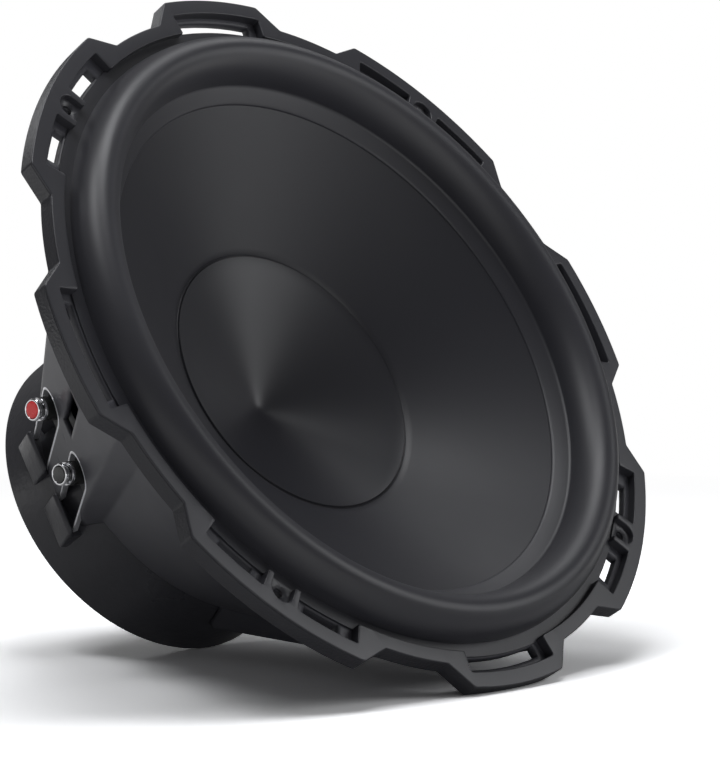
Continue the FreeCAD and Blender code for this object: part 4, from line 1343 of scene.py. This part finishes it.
@dataclass
class Terminal:
    """Push terminal: plated barrel, sprung button with its insert, and braided lead."""

    side: Side
    pole: Pole
    pitch: float = TERMINAL_PITCH
    height: float = TERMINAL_HEIGHT
    spring_wire: float = 0.3 * MM
    spring_radius: float = 3.65 * MM
    spring_turns: int = 5
    spring_start: float = 127.3 * MM
    spring_end: float = 136.3 * MM
    turn_steps: int = 24
    tab_end: float = 99.2 * MM
    collar_radius: float = 34.5 * MM
    collar_offset: float = 10.5 * MM
    collar_height: float = 88.0 * MM
    lead_rise: float = 9.0 * MM
    lead_radius: float = 1.0 * MM

    @property
    def name(self) -> str:
        """The terminal's name, as its nodes have it."""
        return f"{self.side.name.lower()}_{self.pole.name.lower()}"

    @property
    def place(self) -> Matrix:
        """Frame whose Z axis runs outwards along the terminal from the driver's axis.

        Returns:
            The frame.
        """
        outwards = self.side.value
        middle = Vector((0, self.pole.value * outwards * self.pitch, self.height))
        return Matrix.Translation(middle) @ Matrix.Rotation(outwards * math.pi / 2, 4, "Y")

    def lathe(self, part: str, profile: list[Point], finish: Finish,
              rounding: float) -> Piece:
        """Turn one part of the terminal about its own axis.

        Args:
            part: Name of the part.
            profile: (radius, distance from the driver's axis) corners in millimetres.
            finish: Its finish.
            rounding: Corner radius in millimetres.

        Returns:
            The part.
        """
        outline = [(r * MM, z * MM) for r, z in profile]
        closed = all(r > 0 for r, _ in profile)
        outline = rounded(outline, rounding * MM, 4, closed)
        maker = MeshMaker(f"{self.name}_{part}")
        maker.turn(outline, 64, closed, self.place)
        return maker.finish(finish, sharp=40.0)

    def build(self) -> list[Piece]:
        """Make the terminal's visible pieces.

        Returns:
            The pieces.
        """
        push = f"{self.name}_push"
        barrel = self.lathe("barrel_shell", [
            (3.1, 126.9), (3.1, 118.5), (0.6, 118.5), (0.6, 112.0), (4.5, 112.0), (4.5, 132.6),
            (5.9, 132.6), (5.9, 134.5), (4.4, 134.5), (4.4, 126.9)], CHROME, 0.3)
        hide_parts(f"{self.name}_barrel")
        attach(barrel, "frame")
        button = self.lathe("button_shell", [
            (0.0, 121.0), (2.95, 121.0), (2.95, 136.7), (5.5, 136.7), (5.8, 137.4),
            (5.5, 138.2), (5.1, 138.5), (4.4, 138.5), (4.4, 137.5), (0.0, 137.5)], CHROME, 0.3)
        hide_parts(f"{self.name}_button")
        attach(button, push)
        colour = RED_GLOSS if self.pole is Pole.POSITIVE else BLACK_GLOSS
        insert = self.lathe("insert_face", [
            (0.0, 137.5), (4.3, 137.5), (4.3, 138.4), (3.9, 138.7), (0.0, 138.8)], colour, 0.2)
        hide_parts(f"{self.name}_insert")
        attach(insert, push)
        return [barrel, button, insert, self.build_spring(), self.build_lead()]

    def build_spring(self) -> Piece:
        """Make the coil spring, squeezed between the barrel and the button.


        Returns:
            The spring.
        """
        start, end, radius = self.spring_start, self.spring_end, self.spring_radius
        count = self.spring_turns * self.turn_steps
        path = []
        for step in range(count + 1):
            angle = 2 * math.pi * step / self.turn_steps
            height = start + (end - start) * step / count
            path.append(self.place @ Vector((radius * math.cos(angle),
                                             radius * math.sin(angle), height)))
        maker = MeshMaker(f"{self.name}_spring_coil")
        maker.tube(path, self.spring_wire, 8)
        spring = maker.finish(SPRING_STEEL, sharp=60.0)
        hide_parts(f"{self.name}_spring")
        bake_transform(spring)
        return spring

    def build_lead(self) -> Piece:
        """Make the slack braided lead from the tab to the collar on the former.

        Returns:
            The lead.
        """
        outwards = self.side.value
        sign = self.pole.value * outwards
        start = Vector((outwards * self.tab_end, sign * self.pitch, self.height))
        end = Vector((outwards * self.collar_radius, sign * self.collar_offset,
                      self.collar_height))
        path = []
        for step in range(33):
            share = step / 32
            rise = Vector((0, 0, self.lead_rise)) * (1 - (2 * share - 1) ** 2)
            path.append(start.lerp(end, share) + rise)
        maker = MeshMaker(f"{self.name}_lead_braid")
        maker.tube(path, self.lead_radius, 12)
        lead = maker.finish(LEAD_BRAID, sharp=60.0)
        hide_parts(f"{self.name}_lead")
        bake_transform(lead)
        return lead


# ---------------------------------------------------------------- basket windows
@dataclass
class WindowRims:
    """Bare metal edges of the windows that are punched through the spokes."""

    foot_x: float = 92.7 * MM
    foot_z: float = 36.0 * MM
    lean: float = 0.62076
    skin: float = 3.6 * MM
    lip: float = 1.3 * MM
    proud: float = 0.25 * MM
    clear: float = 0.04 * MM
    pitch: float = TERMINAL_PITCH
    head: float = TERMINAL_HEIGHT
    radius: float = 9.6 * MM
    foot_half: float = 8.6 * MM

    def panel(self, height: float) -> float:
        """Distance of the spoke's outer panel from the axis at a height."""
        return self.foot_x + self.lean * (height - self.foot_z)

    def window(self, middle: float) -> list[Point]:
        """Outline of one window, anticlockwise from its right foot.

        Args:
            middle: Its middle line.

        Returns:
            (Y, Z) points, open along the spoke's foot.
        """
        points = [(middle + self.foot_half, self.foot_z)]
        for step in range(25):
            angle = math.pi * step / 24
            points.append((middle + self.radius * math.cos(angle),
                           self.head + self.radius * math.sin(angle)))
        points.append((middle - self.foot_half, self.foot_z))
        return points

    def build_rim(self, name: str, middle: float, side: Side) -> Piece:
        """Make the rim of one window.

        Args:
            name: Name of the window.
            middle: Its middle line.
            side: The side that it is on.

        Returns:
            The rim.
        """
        maker = MeshMaker(f"{side.name.lower()}_{name}_rim")
        inner = self.clear - self.skin
        section = [(self.lip, self.clear), (self.lip * 0.7, self.proud), (0.0, self.proud * 0.6),
                   (-self.clear, -self.lip / 2), (-self.clear, inner), (self.lip / 2, inner)]
        outline = self.window(middle)
        loops = []
        for out, deep in section:
            moved = shifted(outline, out)
            moved[0] = (outline[0][0] + out, outline[0][1])
            moved[-1] = (outline[-1][0] - out, outline[-1][1])
            loops.append(maker.loop([Vector((side.value * (self.panel(z) + deep),
                                             side.value * y, z)) for y, z in moved]))
        for first, second in zip(loops, loops[1:] + loops[:1]):
            maker.strip(first, second, closed=False)
        for end in (0, -1):
            maker.mesh.faces.new([loop[end] for loop in loops])
        rim = maker.finish(CUT_EDGE, sharp=50.0)
        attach(rim, "frame")
        return rim

    def build(self) -> list[Piece]:
        """Make the rims of all the windows.

        Returns:
            The rims.
        """
        made = []
        for side in Side:
            made.append(self.build_rim("far_window", self.pitch, side))
            made.append(self.build_rim("near_window", -self.pitch, side))
        return made


# ---------------------------------------------------------------- nodes kept as they are
@dataclass
class KeptNodes:
    """Nodes whose own shape is right, and the finish that each one gets."""

    finishes: dict[str, Finish] = field(default_factory=lambda: {
        "basket": BASKET_PAINT, "spider_clamp": GAP_BLACK, "pole_yoke": YOKE_ZINC,
        "rear_magnet": FERRITE, "front_magnet": FERRITE, "top_plate": YOKE_ZINC,
        "shorting_sleeve": COPPER, "vent_screen": SCREEN_WIRE, "motor_screws": SCREW_BLACK,
        "coil_former": FORMER_METAL, "inner_winding": WIRE_COPPER,
        "outer_winding": WIRE_COPPER, "lead_collar": GAP_BLACK,
        "left_terminal_block": BLOCK_BLACK, "right_terminal_block": BLOCK_BLACK,
        "left_block_screws": SCREW_BLACK, "right_block_screws": SCREW_BLACK,
    })

    def dress(self) -> None:
        """Give every kept node its finish."""
        tabs = {f"{side}_{pole}_tab": TAB_BRASS for side in ("left", "right")
                for pole in ("positive", "negative")}
        for node, finish in {**self.finishes, **tabs}.items():
            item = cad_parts[node]
            if not item.material_slots:
                item.data.materials.append(finish.material())
            for slot in item.material_slots:
                slot.material = finish.material()
            LOG.info("dressed %s with %s", node, finish.name)


# ---------------------------------------------------------------- studio
@dataclass
class Studio:
    """Camera, floor, world and lamps round the driver as it leans on its motor."""

    camera_place: tuple[float, float, float] = (-1.08358, -0.43937, 1.05469)
    camera_right: tuple[float, float, float] = (0.66522, -0.39866, 0.63131)
    camera_up: tuple[float, float, float] = (0.05947, 0.87113, 0.48744)
    camera_back: tuple[float, float, float] = (-0.74428, -0.28671, 0.60320)
    lens: float = 135.55
    up: tuple[float, float, float] = (0.0233, 0.8562, 0.5162)
    boot_edge: Point = (92.0 * MM, 4.0 * MM)
    floor_reach: float = 6.0
    floor_gap: float = 0.2 * MM
    air_light: float = 0.09
    lamp_distance: float = 1.6
    lamp_target: float = 0.12
    card_fade: Point = (0.45, 1.2)
    lamp_tint: Colour = (0.97, 0.98, 1.0)
    card_white: Point = (0.5, 2.0)
    lamps: tuple[tuple[str, tuple[float, float, float], float, float], ...] = (
        ("Overhead softbox", (0.0, 1.0, 0.0), 0.8, 9.5),
        ("Key softbox", (-0.5, 1.0, 0.3), 0.5, 5.5),
        ("Side softbox", (1.0, 0.4, 0.0), 0.8, 4.8),
        ("Back softbox", (0.3, 1.0, -0.6), 0.7, 2.5),
        ("Low front softbox", (0.5, -0.5, 1.0), 0.8, 2.8),
        ("Rim softbox", (-0.9, 0.8, -0.9), 0.4, 1.0),
    )

    def add_camera(self) -> None:
        """Add the camera that looks at the driver from the front and one side."""
        data = bpy.data.cameras.new("Studio camera")
        data.lens = self.lens
        data.sensor_width = 36.0
        data.clip_start, data.clip_end = 0.05, 50.0
        camera = bpy.data.objects.new("Studio camera", data)
        columns = Matrix((self.camera_right, self.camera_up, self.camera_back)).transposed()
        camera.matrix_world = Matrix.Translation(self.camera_place) @ columns.to_4x4()
        bpy.context.scene.collection.objects.link(camera)
        bpy.context.scene.camera = camera

    def floor_point(self) -> Vector:
        """Find the point where the boot's back edge touches the floor.

        Returns:
            The point.
        """
        up = Vector(self.up).normalized()
        radius, height = self.boot_edge
        down = Vector((-up.x, -up.y, 0)).normalized() * radius
        return down + Vector((0, 0, height))

    def add_floor(self) -> None:
        """Add the pale floor, seen from above only."""
        up = Vector(self.up).normalized()
        side = up.cross(Vector((1, 0, 0))).normalized()
        ahead = side.cross(up)
        middle = self.floor_point() - up * self.floor_gap
        maker = MeshMaker("studio_floor")
        reach = self.floor_reach
        corners = [middle + side * a * reach + ahead * b * reach
                   for a, b in ((-1, -1), (1, -1), (1, 1), (-1, 1))]
        face = maker.mesh.faces.new(maker.loop(corners))
        face.normal_update()
        if face.normal.dot(up) < 0:
            face.normal_flip()
        floor = maker.release()
        floor.data.materials.append(self.floor_material())
        floor.visible_shadow = False

    def floor_material(self) -> bpy.types.Material:
        """White card that shows only from its upper side and fades to plain white far off.

        Returns:
            The material.
        """
        material = bpy.data.materials.new("Studio white card")
        material.use_nodes = True
        nodes = NodeTree(material.node_tree)
        material.node_tree.nodes.remove(material.node_tree.nodes["Principled BSDF"])
        card = nodes.add("BsdfDiffuse")
        seen = nodes.add("LightPath").outputs["Is Camera Ray"]
        dim, bright = self.card_white
        white = nodes.mix(seen, (dim, dim, dim), (bright, bright, bright))
        nodes.link(white, card.inputs["Color"])
        glow = nodes.add("Emission")
        distance = nodes.add("VectorMath", operation="LENGTH")
        nodes.link(nodes.add("TexCoord").outputs["Object"], distance.inputs[0])
        far = nodes.add("MixShader")
        near, full = self.card_fade
        nodes.link(nodes.spread(distance.outputs["Value"], near, full, 0.0, 1.0), far.inputs[0])
        nodes.link(card.outputs[0], far.inputs[1])
        nodes.link(glow.outputs[0], far.inputs[2])
        clear = nodes.add("BsdfTransparent")
        side = nodes.add("NewGeometry").outputs["Backfacing"]
        choice = nodes.add("MixShader")
        nodes.link(side, choice.inputs[0])
        nodes.link(far.outputs[0], choice.inputs[1])
        nodes.link(clear.outputs[0], choice.inputs[2])
        out = material.node_tree.nodes["Material Output"]
        nodes.link(choice.outputs[0], out.inputs["Surface"])
        return material

    def add_world(self) -> None:
        """Add plain white air behind the driver, much dimmer as a source of light."""
        world = bpy.data.worlds.new("Studio white")
        world.use_nodes = True
        nodes = NodeTree(world.node_tree)
        air = world.node_tree.nodes["Background"]
        air.inputs["Color"].default_value = (1, 1, 1, 1)
        seen = nodes.add("LightPath").outputs["Is Camera Ray"]
        nodes.link(nodes.spread(seen, 0.0, 1.0, self.air_light, 1.0), air.inputs["Strength"])
        bpy.context.scene.world = world

    def add_light(self, name: str, direction: Vector, size: float, power: float) -> None:
        """Add one soft square lamp that faces the driver.

        Args:
            name: The lamp's name.
            direction: Where it stands, seen from the driver.
            size: Length of its side.
            power: Its power in watts.
        """
        data = bpy.data.lights.new(name, "AREA")
        data.shape = "SQUARE"
        data.size = size
        data.energy = power
        data.color = self.lamp_tint
        lamp = bpy.data.objects.new(name, data)
        target = Vector((0, 0, self.lamp_target))
        lamp.location = target + direction.normalized() * self.lamp_distance
        lamp.rotation_mode = "QUATERNION"
        lamp.rotation_quaternion = (-direction).to_track_quat("-Z", "Y")
        bpy.context.scene.collection.objects.link(lamp)

    def build(self) -> None:
        """Set up the whole studio."""
        self.add_camera()
        self.add_floor()
        self.add_world()
        bpy.context.scene.view_settings.view_transform = "Standard"
        axes = [Vector(axis) for axis in (self.camera_right, self.up, self.camera_back)]
        for name, place, size, power in self.lamps:
            direction = sum((axis * share for axis, share in zip(axes, place)), Vector())
            self.add_light(name, direction, size, power)


def main() -> None:
    """Build every piece in order, and report each through the log."""
    logging.basicConfig(level=logging.INFO, format="%(message)s")
    cone = ConeAssembly()
    made = [TrimRing().build(), Surround().build(), cone.build_cone(), cone.build_cap(),
            Spider().build(), Boot().build()]
    for side in Side:
        for pole in Pole:
            made += Terminal(side, pole).build()
    made += WindowRims().build()
    for piece in made:
        LOG.info("built %s", piece.name)
    KeptNodes().dress()
    Studio().build()


if __name__ == "__main__":
    main()
